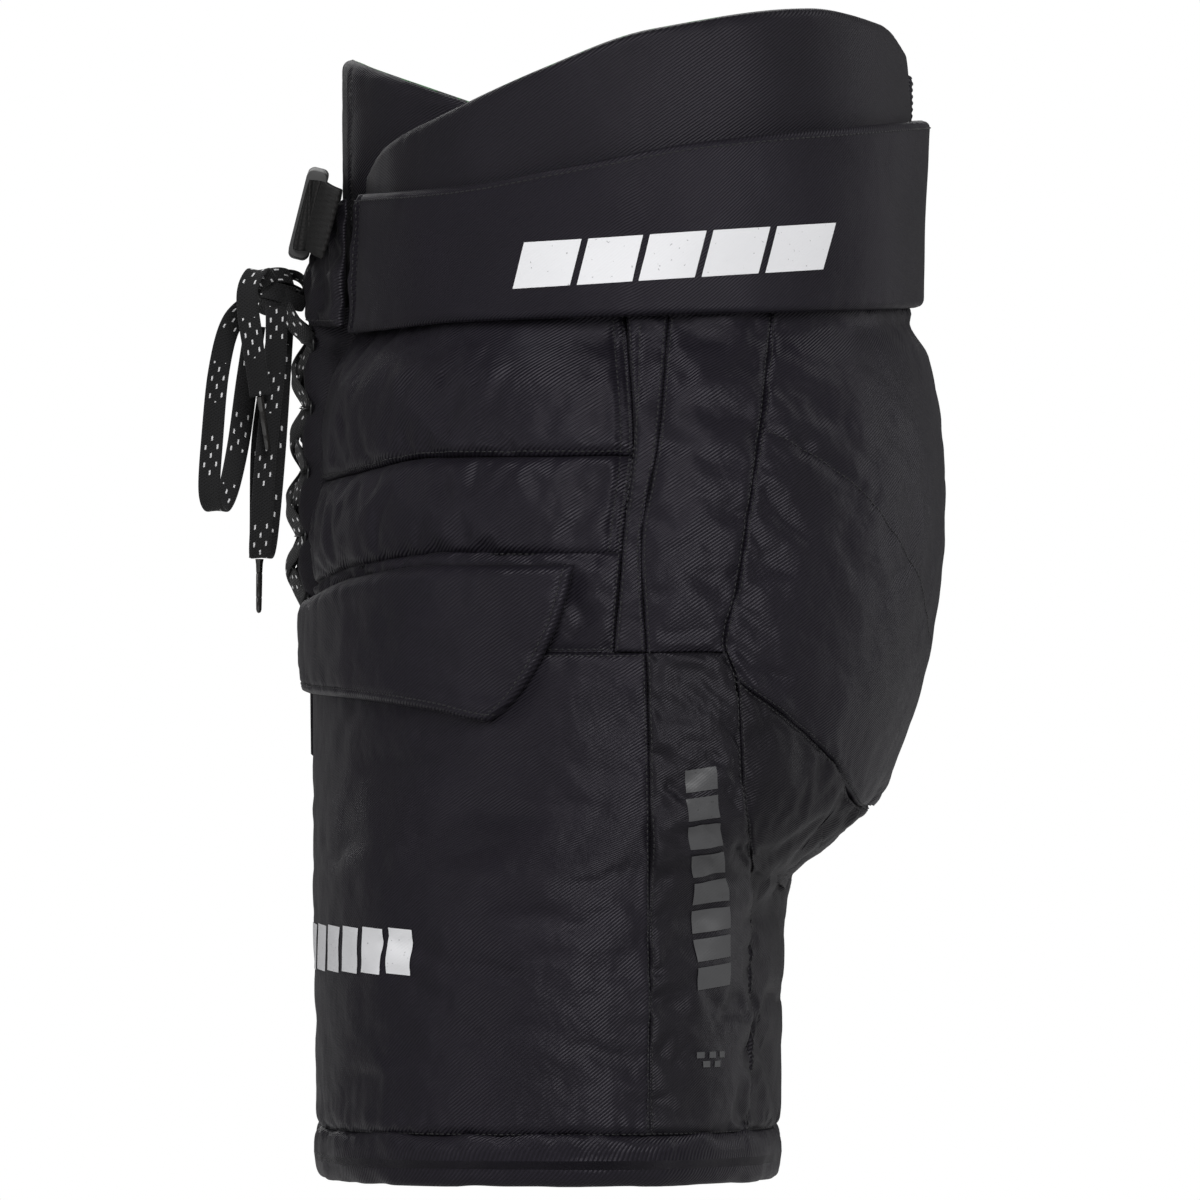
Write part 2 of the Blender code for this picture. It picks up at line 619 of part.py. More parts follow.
def make_leg(leg, side):
    """One leg: four panels round it, a padded hem, and a thigh guard of plate and foam."""
    top = level(LEG_TOP_Z)
    foot = level(LEG_FOOT_Z)
    seam = upright(SIDE_SEAM, -SEAM_GAP)
    place = panel_place(centre_line(-1), seam, foot, top, side)
    leg.add(side_name("thigh_panel", side), slab(place, SKIN, 14, 8), "nylon")
    place = panel_place(upright(SIDE_SEAM, SEAM_GAP), upright(REAR_SEAM, -SEAM_GAP), foot, top, side)
    leg.add(side_name("side_strip", side), slab(place, SKIN, 3, 8), "nylon_soft")
    rear = upright(REAR_SEAM, SEAM_GAP)
    place = panel_place(rear, centre_line(1), foot, lying(SEAT_SEAM, -SEAM_GAP), side)
    leg.add(side_name("rear_panel", side), slab(place, SKIN, 8, 9), "nylon")
    place = panel_place(inner_edge(-1), inner_edge(1), foot, level(CROTCH_Z), side, inner=True)
    leg.add(side_name("inner_panel", side), slab(place, INNER, 10, 6), "nylon_soft")
    low, high = (level(z) for z in THIGH_PLATE_Z)
    place = panel_place(
        lambda z: angle_at_x(THIGH_PLATE_FRONT_X, z), upright(SIDE_SEAM, -GUARD_GAP), low, high, side
    )
    leg.add(side_name("thigh_plate", side), slab(place, PLATE, 10, 6), "guard_plastic")
    leg.add(side_name("thigh_foam", side), slab(place, FOAM, 10, 6), "foam")
    leg.add(side_name("hem", side), hem_ring(side), "nylon")


def hem_ring(side):
    """A closed padded ring round the leg opening, with a flat foot on the floor."""
    columns = 18
    bm = bmesh.new()
    rings = []
    for step in range(2 * columns):
        turn = step / columns
        inner = turn >= 1
        angle = -math.pi / 2 + math.pi * (turn if not inner else 2 - turn)
        corners = ((HEM[0], 0.0), (HEM[0], HEM_TOP_Z), (HEM[1], HEM_TOP_Z), (HEM[1], 0.0))
        ring = []
        for depth, z in corners:
            point = shell(angle, HEM_SECTION_Z, depth, inner)
            ring.append(bm.verts.new((point.x * side, point.y, z)))
        rings.append(ring)
    for first, second in zip(rings, rings[1:] + rings[:1]):
        for index in range(4):
            following = (index + 1) % 4
            bm.faces.new((first[index], first[following], second[following], second[index]))
    return bm


def flap_place(side):
    return panel_place(
        lambda z: angle_at_x(FLAP_FRONT_X, z), upright(FLAP_REAR), lying(FLAP_FOOT), lying(FLAP_TOP), side
    )


def flap_axis(side):
    """The middle of the flap's top edge and the direction along it."""
    place = flap_place(side)
    depth = sum(FLAP) / 2
    return place(0.5, 1.0, depth), (place(0.55, 1.0, depth) - place(0.45, 1.0, depth)).normalized()


def main():
    for obj in list(bpy.data.objects):
        bpy.data.objects.remove(obj, do_unlink=True)
    make_materials()

    waist = Body("waist")
    for side in (1, -1):
        make_waist_pads(waist, side)
        make_pelvis_panels(waist, side)
    make_centre_pieces(waist)
    make_fly_lacing(waist)
    make_bow(waist)

    belly = Body("belly", BELLY_AXIS, waist)
    make_belly_pad(belly)

    plug = Body("buckle_plug_slide", BUCKLE_CENTRE, waist)
    upward = Matrix.Rotation(BUCKLE_TILT, 3, "X") @ Vector((0.0, 0.0, PRONG_TOP - PRONG_HEIGHT / 2))
    prongs = {}
    for side in (1, -1):
        pivot = BUCKLE_CENTRE + Vector((PLUG_X[0], 0.0, 0.0)) + upward * side
        prongs[side] = Body("prong_upper_flex" if side > 0 else "prong_lower_flex", pivot, plug)
    make_buckle(waist, plug, prongs)

    for side in (1, -1):
        leg = Body(side_name("leg", side), HIP_AXIS, waist)
        make_leg(leg, side)
        pivot, _ = flap_axis(side)
        flap = Body(side_name("flap_hinge", side), pivot, leg)
        flap.add(side_name("flap", side), slab(flap_place(side), FLAP, 13, 5), "nylon")


main()
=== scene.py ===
"""The looks of the goalie pants: padded nylon panels, stitching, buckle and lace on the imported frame.

Metres, +Z up, front -Y, the wearer's left +X. Panels lie on the same smooth shell as their CAD
solids. Each is a fine grid with rounded seams, sewn puckers and folds found by cloth simulation.
"""

import math

import bmesh
import bpy
import numpy as np
from mathutils import Matrix, Vector


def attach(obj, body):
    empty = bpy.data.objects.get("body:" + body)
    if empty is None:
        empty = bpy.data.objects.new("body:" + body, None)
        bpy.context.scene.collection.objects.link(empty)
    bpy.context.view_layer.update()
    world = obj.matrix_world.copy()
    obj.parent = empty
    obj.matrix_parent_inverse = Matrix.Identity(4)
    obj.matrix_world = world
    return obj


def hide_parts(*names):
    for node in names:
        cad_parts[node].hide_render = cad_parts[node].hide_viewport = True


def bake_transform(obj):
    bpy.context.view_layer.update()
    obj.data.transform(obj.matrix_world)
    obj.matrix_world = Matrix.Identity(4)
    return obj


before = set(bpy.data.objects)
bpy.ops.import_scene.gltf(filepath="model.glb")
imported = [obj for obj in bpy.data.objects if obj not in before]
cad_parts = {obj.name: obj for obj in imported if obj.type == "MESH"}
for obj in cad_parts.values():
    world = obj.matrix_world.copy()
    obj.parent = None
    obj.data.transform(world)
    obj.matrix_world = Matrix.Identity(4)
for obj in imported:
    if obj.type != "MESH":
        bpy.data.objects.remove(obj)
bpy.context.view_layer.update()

# The shell, as in the CAD: (height, value) stations joined by smooth lines.
FRONT_STATIONS = (
    (0.000, -0.1190), (0.190, -0.1210), (0.226, -0.1215), (0.252, -0.1260), (0.285, -0.1225),
    (0.320, -0.1170), (0.345, -0.1065), (0.396, -0.1040), (0.472, -0.1010),
)
BACK_STATIONS = (
    (0.000, 0.0660), (0.105, 0.0670), (0.122, 0.0710), (0.137, 0.0900), (0.150, 0.1050),
    (0.170, 0.1140), (0.216, 0.1270), (0.268, 0.1325), (0.311, 0.1300), (0.330, 0.1260),
    (0.345, 0.1190), (0.430, 0.1215), (0.472, 0.1180),
)
SIDE_STATIONS = (
    (0.000, 0.2030), (0.100, 0.2000), (0.214, 0.1930), (0.280, 0.1850), (0.320, 0.1720),
    (0.345, 0.1570), (0.400, 0.1520), (0.472, 0.1430),
)
INNER_STATIONS = ((0.000, 0.0100), (0.146, 0.0035))
MEET_FOOT_X = 0.0550
MEET_KNEE = (0.1480, 0.0165)
MEET_TOP = (0.1700, 0.0015)
SHELL_ROUNDNESS = 2.4

# Seams: upright ones are (height, y), lying ones are (y, height).
SIDE_SEAM = (
    (0.000, 0.0155), (0.128, 0.0150), (0.214, 0.0130), (0.255, 0.0110), (0.300, 0.0180),
    (0.347, 0.0220),
)
REAR_SEAM = (
    (0.000, 0.0550), (0.128, 0.0560), (0.158, 0.0530), (0.203, 0.0500), (0.218, 0.0450),
    (0.240, 0.0500), (0.273, 0.0550), (0.309, 0.0600), (0.347, 0.0640),
)
BAND_END_SEAM = ((0.214, 0.0000), (0.262, 0.0040), (0.300, 0.0080), (0.347, 0.0050))
SEAT_SEAM = (
    (0.040, 0.2150), (0.050, 0.2030), (0.072, 0.1860), (0.090, 0.1680), (0.101, 0.1490),
    (0.140, 0.1480),
)
BAND_SPLIT = ((-0.130, 0.2790), (-0.114, 0.2840), (-0.075, 0.2930), (0.010, 0.2945))
BAND_FOOT = ((-0.130, 0.2290), (-0.118, 0.2400), (-0.104, 0.2460), (-0.065, 0.2520), (0.010, 0.2520))
BELT_TOP = (
    (-0.112, 0.3955), (-0.060, 0.4000), (-0.018, 0.4080), (0.035, 0.4180), (0.105, 0.4250),
    (0.130, 0.4270),
)
BELT_FOOT = ((-0.112, 0.3380), (-0.090, 0.3410), (-0.060, 0.3450), (0.000, 0.3475), (0.130, 0.3510))
PAD_TOP = (
    (-0.104, 0.3960), (-0.0995, 0.4080), (-0.093, 0.4175), (-0.070, 0.4300), (-0.030, 0.4480),
    (0.016, 0.4640), (0.082, 0.4720), (0.110, 0.4660), (0.123, 0.4500),
)
FLAP_TOP = ((-0.135, 0.2240), (-0.118, 0.2360), (-0.104, 0.2430), (-0.065, 0.2490), (0.000, 0.2490))
FLAP_FOOT = ((-0.135, 0.1960), (-0.100, 0.1940), (-0.070, 0.1900), (-0.050, 0.1860), (-0.030, 0.1860))
FLAP_REAR = ((0.186, -0.0480), (0.193, -0.0400), (0.204, -0.0320), (0.227, -0.0210), (0.250, -0.0150))
SEAT_QUILT = ((0.058, 0.3050), (0.086, 0.2884), (0.105, 0.2690), (0.119, 0.2444), (0.126, 0.2170))
LEG_TOP_Z = 0.2140
BELT_OVERLAP = 0.0055
LEG_FOOT_Z = 0.0200
BELT_FRONT_X = 0.0600
PAD_FRONT_X = 0.0480
SPINE_X = 0.0245
FLAP_FRONT_X = 0.0300

# Photographic set-up.
VIEW_CENTRE = Vector((0.0, -0.0055, 0.2321))
VIEW_SPAN = 0.4860
CAMERA_PLACE = Vector((16.0, -0.0055, 0.4700))
SENSOR = 0.036


# ---------------------------------------------------------------- shell

def smooth_line(stations):
    """A vectorised curve through (input, output) stations that never overshoots them."""
    at, value = (np.array(column) for column in zip(*stations))
    slope = np.diff(value) / np.diff(at)
    tangent = np.zeros(len(at))
    tangent[0], tangent[-1] = slope[0], slope[-1]
    before, after = slope[:-1], slope[1:]
    same_way = before * after > 0
    total = np.where(same_way, before + after, 1.0)
    tangent[1:-1] = np.where(same_way, 2 * before * after / total, 0.0)

    def line(x):
        x = np.clip(np.asarray(x, float), at[0], at[-1])
        index = np.clip(np.searchsorted(at, x, side="left") - 1, 0, len(at) - 2)
        span = at[index + 1] - at[index]
        t = (x - at[index]) / span
        start = (1 + 2 * t) * (1 - t) ** 2 * value[index] + t * (1 - t) ** 2 * span * tangent[index]
        end = t * t * (3 - 2 * t) * value[index + 1] + t * t * (t - 1) * span * tangent[index + 1]
        return start + end

    return line


front_y = smooth_line(FRONT_STATIONS)
back_y = smooth_line(BACK_STATIONS)
side_x = smooth_line(SIDE_STATIONS)
inner_x = smooth_line(INNER_STATIONS)


def meet_x(z):
    knee_z, knee_x = MEET_KNEE
    top_z, top_x = MEET_TOP
    lower = MEET_FOOT_X + (knee_x - MEET_FOOT_X) * z / knee_z
    upper = knee_x + (top_x - knee_x) * (z - knee_z) / (top_z - knee_z)
    return np.maximum(top_x, np.minimum(lower, upper))


def rounded(value):
    return np.sign(value) * np.abs(value) ** (2 / SHELL_ROUNDNESS)


def shell_point(angle, z, inner=False):
    centre_y = (front_y(z) + back_y(z)) / 2
    half_depth = (back_y(z) - front_y(z)) / 2
    reach = (inner_x(z) if inner else side_x(z)) - meet_x(z)
    x = meet_x(z) + reach * rounded(np.cos(angle))
    y = centre_y + half_depth * rounded(np.sin(angle))
    return np.stack([x, y, z + 0 * angle], axis=-1)


def shell_normal(angle, z, inner=False):
    step = 0.004
    limit = math.pi / 2 - step
    middle = np.clip(angle, -limit, limit)
    along = shell_point(middle + step, z, inner) - shell_point(middle - step, z, inner)
    up = shell_point(middle, z + step, inner) - shell_point(middle, z - step, inner)
    normal = np.cross(along, up)
    normal /= np.linalg.norm(normal, axis=-1, keepdims=True)
    return -normal if inner else normal


def angle_at_y(y, z):
    centre_y = (front_y(z) + back_y(z)) / 2
    half_depth = (back_y(z) - front_y(z)) / 2
    share = np.clip((y - centre_y) / half_depth, -1.0, 1.0)
    return np.arcsin(np.sign(share) * np.abs(share) ** (SHELL_ROUNDNESS / 2))


def angle_at_x(x, z, end=-1):
    share = np.clip((x - meet_x(z)) / (side_x(z) - meet_x(z)), 0.0, 1.0)
    return end * np.arccos(share ** (SHELL_ROUNDNESS / 2))


def upright(stations):
    line = smooth_line(stations)
    return lambda z: angle_at_y(line(z), z)


def at_x(x, end=-1):
    return lambda z: angle_at_x(x, z, end)


def level(height):
    return lambda y: height + 0 * y


def edge_angle(value):
    return lambda z: value + 0 * z


UNDER_BELT = smooth_line([(y, z + BELT_OVERLAP) for y, z in BELT_FOOT])
FRONT_CENTRE = edge_angle(-math.pi / 2)
BACK_CENTRE = edge_angle(math.pi / 2)


def lengths_from_start(points, axis):
    step = np.linalg.norm(np.diff(points, axis=axis), axis=-1)
    pad = [(0, 0), (0, 0)]
    pad[axis] = (1, 0)
    return np.cumsum(np.pad(step, pad), axis=axis)


def shell_lengths():
    """Tables of the distance round the shell from its side, and up it, by height and angle."""
    angle = np.linspace(-math.pi / 2, math.pi / 2, 181)
    height = np.linspace(0.0, 0.4800, 97)
    points = shell_point(*np.meshgrid(angle, height))
    around = lengths_from_start(points, 1)
    return angle, height, around - around[:, 90:91], lengths_from_start(points, 0)


TABLE_ANGLE, TABLE_HEIGHT, TABLE_AROUND, TABLE_UP = shell_lengths()


def cloth_metres(angle, z):
    """Texture coordinates in metres, even all over the shell."""
    column = np.interp(angle, TABLE_ANGLE, np.arange(len(TABLE_ANGLE)))
    row = np.interp(z, TABLE_HEIGHT, np.arange(len(TABLE_HEIGHT)))
    left = np.clip(column.astype(int), 0, len(TABLE_ANGLE) - 2)
    low = np.clip(row.astype(int), 0, len(TABLE_HEIGHT) - 2)
    a, b = column - left, row - low
    fields = []
    for table in (TABLE_AROUND, TABLE_UP):
        below = table[low, left] * (1 - a) + table[low, left + 1] * a
        above = table[low + 1, left] * (1 - a) + table[low + 1, left + 1] * a
        fields.append(below * (1 - b) + above * b)
    return np.stack(fields, axis=-1)


# ---------------------------------------------------------------- noise

def value_noise(x, y, seed):
    """Smooth noise from -1 to 1 on a lattice of unit cells."""
    table = np.random.RandomState(seed).rand(64, 64) * 2 - 1
    cell_x, cell_y = np.floor(x).astype(int), np.floor(y).astype(int)
    fx, fy = x - cell_x, y - cell_y
    fx, fy = fx * fx * (3 - 2 * fx), fy * fy * (3 - 2 * fy)
    a = table[cell_x % 64, cell_y % 64]
    b = table[(cell_x + 1) % 64, cell_y % 64]
    c = table[cell_x % 64, (cell_y + 1) % 64]
    d = table[(cell_x + 1) % 64, (cell_y + 1) % 64]
    return (a * (1 - fx) + b * fx) * (1 - fy) + (c * (1 - fx) + d * fx) * fy


def puckers(along, away, strength, seed):
    """Sewn puckers: ripples across a seam, short beside it and longer further off."""
    total = 0.0
    for octave, (length, reach, height) in enumerate(
        ((0.0052, 0.0042, 0.00095), (0.0100, 0.0090, 0.00160), (0.0230, 0.0210, 0.00155))
    ):
        ripple = value_noise(along / length, away / (3 * length) + 7.3, seed + 17 * octave)
        # Round bulges with narrow creases between them.
        total = total + height * (1.6 * np.abs(ripple) - 0.55) * np.exp(-away / reach)
    return strength * total * np.clip(away / 0.0015, 0, 1)


def groove(distance, depth, width):
    return -depth * np.exp(-((distance / width) ** 2))


def shoulder(distance, radius):
    """0 at a seam, rising on a quarter circle to 1 at the radius."""
    t = np.clip(distance / radius, 0, 1)
    return np.sqrt(1 - (1 - t) ** 2)


# ---------------------------------------------------------------- grids

def knots(length, coarse):
    """Fractions along a side: close beside the seams, coarse in the middle."""
    steps = [0.0]
    while steps[-1] < length / 2:
        steps.append(steps[-1] + min(0.0006 + 0.16 * steps[-1], coarse))
    steps = np.array(steps) / steps[-1] / 2
    return np.concatenate([steps, 1 - steps[-2::-1]])


class Pad:
    """A patch between four seams, as grids of points, normals and distances to its edges."""

    def __init__(self, locate, coarse=0.0024, uniform=None):
        probe = locate(*np.meshgrid(np.linspace(0, 1, 24), np.linspace(0, 1, 24)))[0]
        width = lengths_from_start(probe, 1)[:, -1].max()
        height = lengths_from_start(probe, 0)[-1].max()
        if uniform:
            self.u = np.linspace(0, 1, max(4, round(width / uniform)) + 1)
            self.v = np.linspace(0, 1, max(4, round(height / uniform)) + 1)
        else:
            self.u, self.v = knots(width, coarse), knots(height, coarse)
        grid_u, grid_v = np.meshgrid(self.u, self.v)
        self.base, self.normal = locate(grid_u, grid_v)
        self.locate = locate
        self.left = lengths_from_start(self.base, 1)
        self.right = self.left[:, -1:] - self.left
        self.low = lengths_from_start(self.base, 0)
        self.high = self.low[-1:, :] - self.low
        self.height = np.zeros_like(self.left)
        self.drop = np.zeros_like(self.left)
        # Texture coordinates in metres, even over the patch.
        if isinstance(locate, ShellPatch):
            self.uv = cloth_metres(locate.angle, self.base[..., 2])
        else:
            self.uv = np.stack([grid_u * width, grid_v * height], axis=-1)

    def edges(self, radius):
        """1 inside the patch, falling to 0 on rounded shoulders at all four seams."""
        total = 1.0
        for distance in (self.left, self.right, self.low, self.high):
            total = total * shoulder(distance, radius)
        return total

    def nearest(self):
        return np.minimum(np.minimum(self.left, self.right), np.minimum(self.low, self.high))

    def pucker(self, strength, seed, sides="lrbt"):
        for name, distance, along in (
            ("l", self.left, self.low),
            ("r", self.right, self.low),
            ("b", self.low, self.left),
            ("t", self.high, self.left),
        ):
            if name in sides:
                self.height += puckers(along, distance, strength, seed + ord(name))

    def swell(self, amount, length, seed):
        """Broad soft unevenness of a stuffed panel."""
        calm = np.clip(self.nearest() / length, 0, 1)
        self.height += amount * calm * value_noise(self.uv[..., 0] / length, self.uv[..., 1] / length, seed)

    def settle(self, depth, radius, sides="lrbt"):
        """Draws the surface down to the seams on rounded shoulders."""
        for name, distance in (("l", self.left), ("r", self.right), ("b", self.low), ("t", self.high)):
            if name in sides:
                self.drop = np.maximum(self.drop, depth * (1 - shoulder(distance, radius)))

    def crease(self, line, depth, width, strength=0.0, seed=0):
        """Sews a groove along a line of points, with puckers on both sides of it."""
        offset = self.base[:, :, None, :] - line[None, None, :, :]
        distance = np.linalg.norm(offset, axis=-1)
        nearest = distance.argmin(axis=-1)
        away = distance.min(axis=-1)
        steps = np.linalg.norm(np.diff(line, axis=0), axis=1)
        along = np.concatenate([[0], np.cumsum(steps)])[nearest]
        self.height += groove(away, depth, width)
        if strength:
            self.height += puckers(along, away, strength, seed)

    def points(self):
        return self.base + self.normal * (self.height - self.drop)[..., None]

    def at(self, u, v, lift=0.0):
        """Points and normals on the finished surface at fractions u and v."""
        column = np.interp(u, self.u, np.arange(len(self.u)))
        row = np.interp(v, self.v, np.arange(len(self.v)))
        left = np.clip(column.astype(int), 0, len(self.u) - 2)
        low = np.clip(row.astype(int), 0, len(self.v) - 2)
        a, b = (column - left)[..., None], (row - low)[..., None]

        def mixed(field):
            below = field[low, left] * (1 - a) + field[low, left + 1] * a
            above = field[low + 1, left] * (1 - a) + field[low + 1, left + 1] * a
            return below * (1 - b) + above * b

        normals = mixed(self.normal)
        return mixed(self.points()) + normals * lift, normals

    def row_at(self, side, distance):
        """The line on the finished surface that keeps a distance from one seam, with its normals."""
        measured = {"l": self.left, "r": self.right, "b": self.low, "t": self.high}[side]
        points, normals = self.points(), self.normal
        if side in "bt":
            measured, points, normals = measured.T, points.swapaxes(0, 1), normals.swapaxes(0, 1)
        if side in "rt":
            measured, points, normals = measured[:, ::-1], points[:, ::-1], normals[:, ::-1]
        line, line_normals = [], []
        for row in range(len(points)):
            at = np.interp(distance, measured[row], np.arange(len(measured[row])))
            index = min(int(at), len(measured[row]) - 2)
            share = at - index
            line.append(points[row, index] * (1 - share) + points[row, index + 1] * share)
            line_normals.append(normals[row, index])
        return np.array(line), np.array(line_normals)


class ShellPatch:
    """The mapping from a unit square to the shell between four seams, raised by lift."""

    def __init__(self, start, stop, low, high, inner=False, lift=0.0):
        self.start, self.stop, self.low, self.high = start, stop, low, high
        self.inner, self.lift = inner, lift

    def __call__(self, u, v):
        z = np.full_like(u, float(self.low(0.0) + self.high(0.0)) / 2)
        for _ in range(14):
            angle = self.start(z) + (self.stop(z) - self.start(z)) * u
            y = shell_point(angle, z, self.inner)[..., 1]
            z = self.low(y) + (self.high(y) - self.low(y)) * v
        self.angle = angle
        normal = shell_normal(angle, z, self.inner)
        return shell_point(angle, z, self.inner) + normal * self.lift, normal

    def find(self, y, z):
        """The fractions u and v of a point given by y and height."""
        u = (angle_at_y(y, z) - self.start(z)) / (self.stop(z) - self.start(z))
        v = (z - self.low(y)) / (self.high(y) - self.low(y))
        return np.clip(u, 0, 1), np.clip(v, 0, 1)


def surface(point_at, outward):
    """The mapping of a patch given only as points; its normals lean towards the outward vector."""

    def locate(u, v):
        step = 1e-3
        across = point_at(u + step, v) - point_at(u - step, v)
        up = point_at(u, v + step) - point_at(u, v - step)
        normal = np.cross(across, up)
        normal /= np.linalg.norm(normal, axis=-1, keepdims=True)
        facing = np.sign((normal * np.array(outward)).sum(axis=-1, keepdims=True))
        return point_at(u, v), normal * facing

    return locate


# ---------------------------------------------------------------- cloth simulation

CLOTH_GRID = 0.0042
CLOTH_FRAMES = 18


def cloth_height(locate, crown, grow, pressure, cap, seed):
    """Height of a pinned, slightly oversized sheet after pressure has filled it, on a coarse grid."""
    pad = Pad(locate, uniform=CLOTH_GRID)
    arch = np.sin(math.pi * np.clip(pad.left / pad.left[:, -1:], 0, 1)) ** 0.5
    arch = arch * np.sin(math.pi * np.clip(pad.low / pad.low[-1:], 0, 1)) ** 0.5
    start_height = crown * arch
    start_height += 0.0006 * arch * value_noise(pad.left / 0.011, pad.low / 0.011, seed)
    points = pad.base + pad.normal * start_height[..., None]
    rows, columns = start_height.shape
    mesh = grid_mesh("cloth", points, None)
    obj = bpy.data.objects.new("cloth", mesh)
    bpy.context.scene.collection.objects.link(obj)
    index = np.arange(rows * columns).reshape(rows, columns)
    rim = np.concatenate([index[0], index[-1], index[:, 0], index[:, -1]])
    group = obj.vertex_groups.new(name="pin")
    group.add(np.unique(rim).tolist(), 1.0, "REPLACE")
    cloth = obj.modifiers.new("cloth", "CLOTH")
    settings = cloth.settings
    settings.quality = 5
    settings.mass = 0.12
    settings.air_damping = 2.0
    settings.tension_stiffness = 12
    settings.compression_stiffness = 12
    settings.shear_stiffness = 4
    settings.bending_stiffness = 0.25
    settings.vertex_group_mass = "pin"
    settings.shrink_min = -grow
    settings.use_pressure = True
    settings.uniform_pressure_force = pressure
    settings.effector_weights.gravity = 0
    cloth.point_cache.frame_start = 1
    cloth.point_cache.frame_end = CLOTH_FRAMES
    scene = bpy.context.scene
    for number in range(1, CLOTH_FRAMES + 1):
        scene.frame_set(number)
    evaluated = obj.evaluated_get(bpy.context.evaluated_depsgraph_get())
    settled = np.empty(rows * columns * 3)
    evaluated.data.vertices.foreach_get("co", settled)
    settled = settled.reshape(rows, columns, 3)
    bpy.data.objects.remove(obj, do_unlink=True)
    scene.frame_set(1)
    moved = ((settled - pad.base) * pad.normal).sum(axis=-1)
    return pad, start_height + cap * np.tanh((moved - start_height) / cap)


def cubic_along(field, old, new):
    """Catmull-Rom resampling of the rows of a field at evenly spaced positions."""
    place = np.interp(new, old, np.arange(len(old)))
    index = np.clip(place.astype(int), 0, len(old) - 2)
    t = place - index
    last = len(old) - 1
    a, b = field[np.maximum(index - 1, 0)], field[index]
    c, d = field[index + 1], field[np.minimum(index + 2, last)]
    t = t[:, None]
    return b + 0.5 * ((c - a) * t + (2 * a - 5 * b + 4 * c - d) * t**2 + (3 * b - a - 3 * c + d) * t**3)


def add_cloth(pad, crown, grow=0.03, pressure=3.0, cap=0.004, seed=1):
    """Gives a pad the filled, folded height of a simulated sheet."""
    coarse, height = cloth_height(pad.locate, crown, grow, pressure, cap, seed)
    rows = cubic_along(height, coarse.v, pad.v)
    pad.height += cubic_along(rows.T, coarse.u, pad.u).T


# ---------------------------------------------------------------- meshes

def grid_faces(rows, columns):
    index = np.arange(rows * columns).reshape(rows, columns)
    quads = np.stack([index[:-1, :-1], index[:-1, 1:], index[1:, 1:], index[1:, :-1]], axis=-1)
    return quads.reshape(-1, 4)


def mesh_of(name, vertices, faces, uv=None, slots=None):
    mesh = bpy.data.meshes.new(name)
    mesh.from_pydata(np.asarray(vertices).tolist(), [], np.asarray(faces).tolist())
    if uv is not None:
        layer = mesh.uv_layers.new(name="metres")
        loops = np.empty(len(mesh.loops), int)
        mesh.loops.foreach_get("vertex_index", loops)
        layer.data.foreach_set("uv", np.asarray(uv)[loops].ravel())
    if slots is not None:
        mesh.polygons.foreach_set("material_index", np.asarray(slots, int))
    mesh.shade_smooth()
    mesh.update()
    return mesh


def grid_mesh(name, points, uv):
    rows, columns = points.shape[:2]
    flat_uv = None if uv is None else uv.reshape(-1, 2)
    return mesh_of(name, points.reshape(-1, 3), grid_faces(rows, columns), flat_uv)


def mirrored(points, side):
    points = np.array(points, float)
    points[..., 0] *= side
    return points


def piece(name, mesh, materials):
    obj = bpy.data.objects.new(name, mesh)
    for material in materials:
        mesh.materials.append(material)
    bpy.context.scene.collection.objects.link(obj)
    return obj


def side_name(name, side):
    return name + ("_left" if side > 0 else "_right")


def sheet_piece(name, pad, side, material):
    """An open sheet with its rim tucked into the seams."""
    rows, columns = pad.left.shape
    faces = grid_faces(rows, columns)
    if side < 0:
        faces = faces[:, ::-1]
    mesh = mesh_of(name, mirrored(pad.points(), side).reshape(-1, 3), faces, pad.uv.reshape(-1, 2))
    return piece(name, mesh, [material])


def pillow_piece(name, pad, inner_height, side, outer_material, inner_material=None):
    """A closed pillow: the pad's surface and an inner one, which share their rim."""
    rows, columns = pad.left.shape
    outer = pad.points()
    inner = pad.base + pad.normal * inner_height[..., None]
    index = np.arange(rows * columns).reshape(rows, columns)
    inner_index = index.copy()
    inside = np.zeros((rows, columns), bool)
    inside[1:-1, 1:-1] = True
    inner_index[inside] = rows * columns + np.arange(inside.sum())
    vertices = np.concatenate([outer.reshape(-1, 3), inner[inside]])
    uv = np.concatenate([pad.uv.reshape(-1, 2), pad.uv[inside]])
    front = grid_faces(rows, columns)
    back = inner_index.ravel()[front][:, ::-1]
    faces = np.concatenate([front, back])
    if side < 0:
        faces = faces[:, ::-1]
    slots = np.repeat([0, 1 if inner_material else 0], [len(front), len(back)])
    materials = [outer_material] + ([inner_material] if inner_material else [])
    return piece(name, mesh_of(name, mirrored(vertices, side), faces, uv, slots), materials)


def resampled(points, normals, spacing):
    """Points, tangents and normals at even steps along a line."""
    step = np.linalg.norm(np.diff(points, axis=0), axis=1)
    along = np.concatenate([[0], np.cumsum(step)])
    count = max(2, int(along[-1] / spacing))
    at = np.linspace(0, along[-1], count + 1)
    out = np.stack([np.interp(at, along, points[:, k]) for k in range(3)], axis=-1)
    facing = np.stack([np.interp(at, along, normals[:, k]) for k in range(3)], axis=-1)
    tangent = np.gradient(out, axis=0)
    tangent /= np.linalg.norm(tangent, axis=1, keepdims=True) + 1e-12
    facing /= np.linalg.norm(facing, axis=1, keepdims=True) + 1e-12
    return out, tangent, facing


STITCH_PITCH = 0.0026
STITCH_LENGTH = 0.0019
STITCH_RADIUS = 0.00034


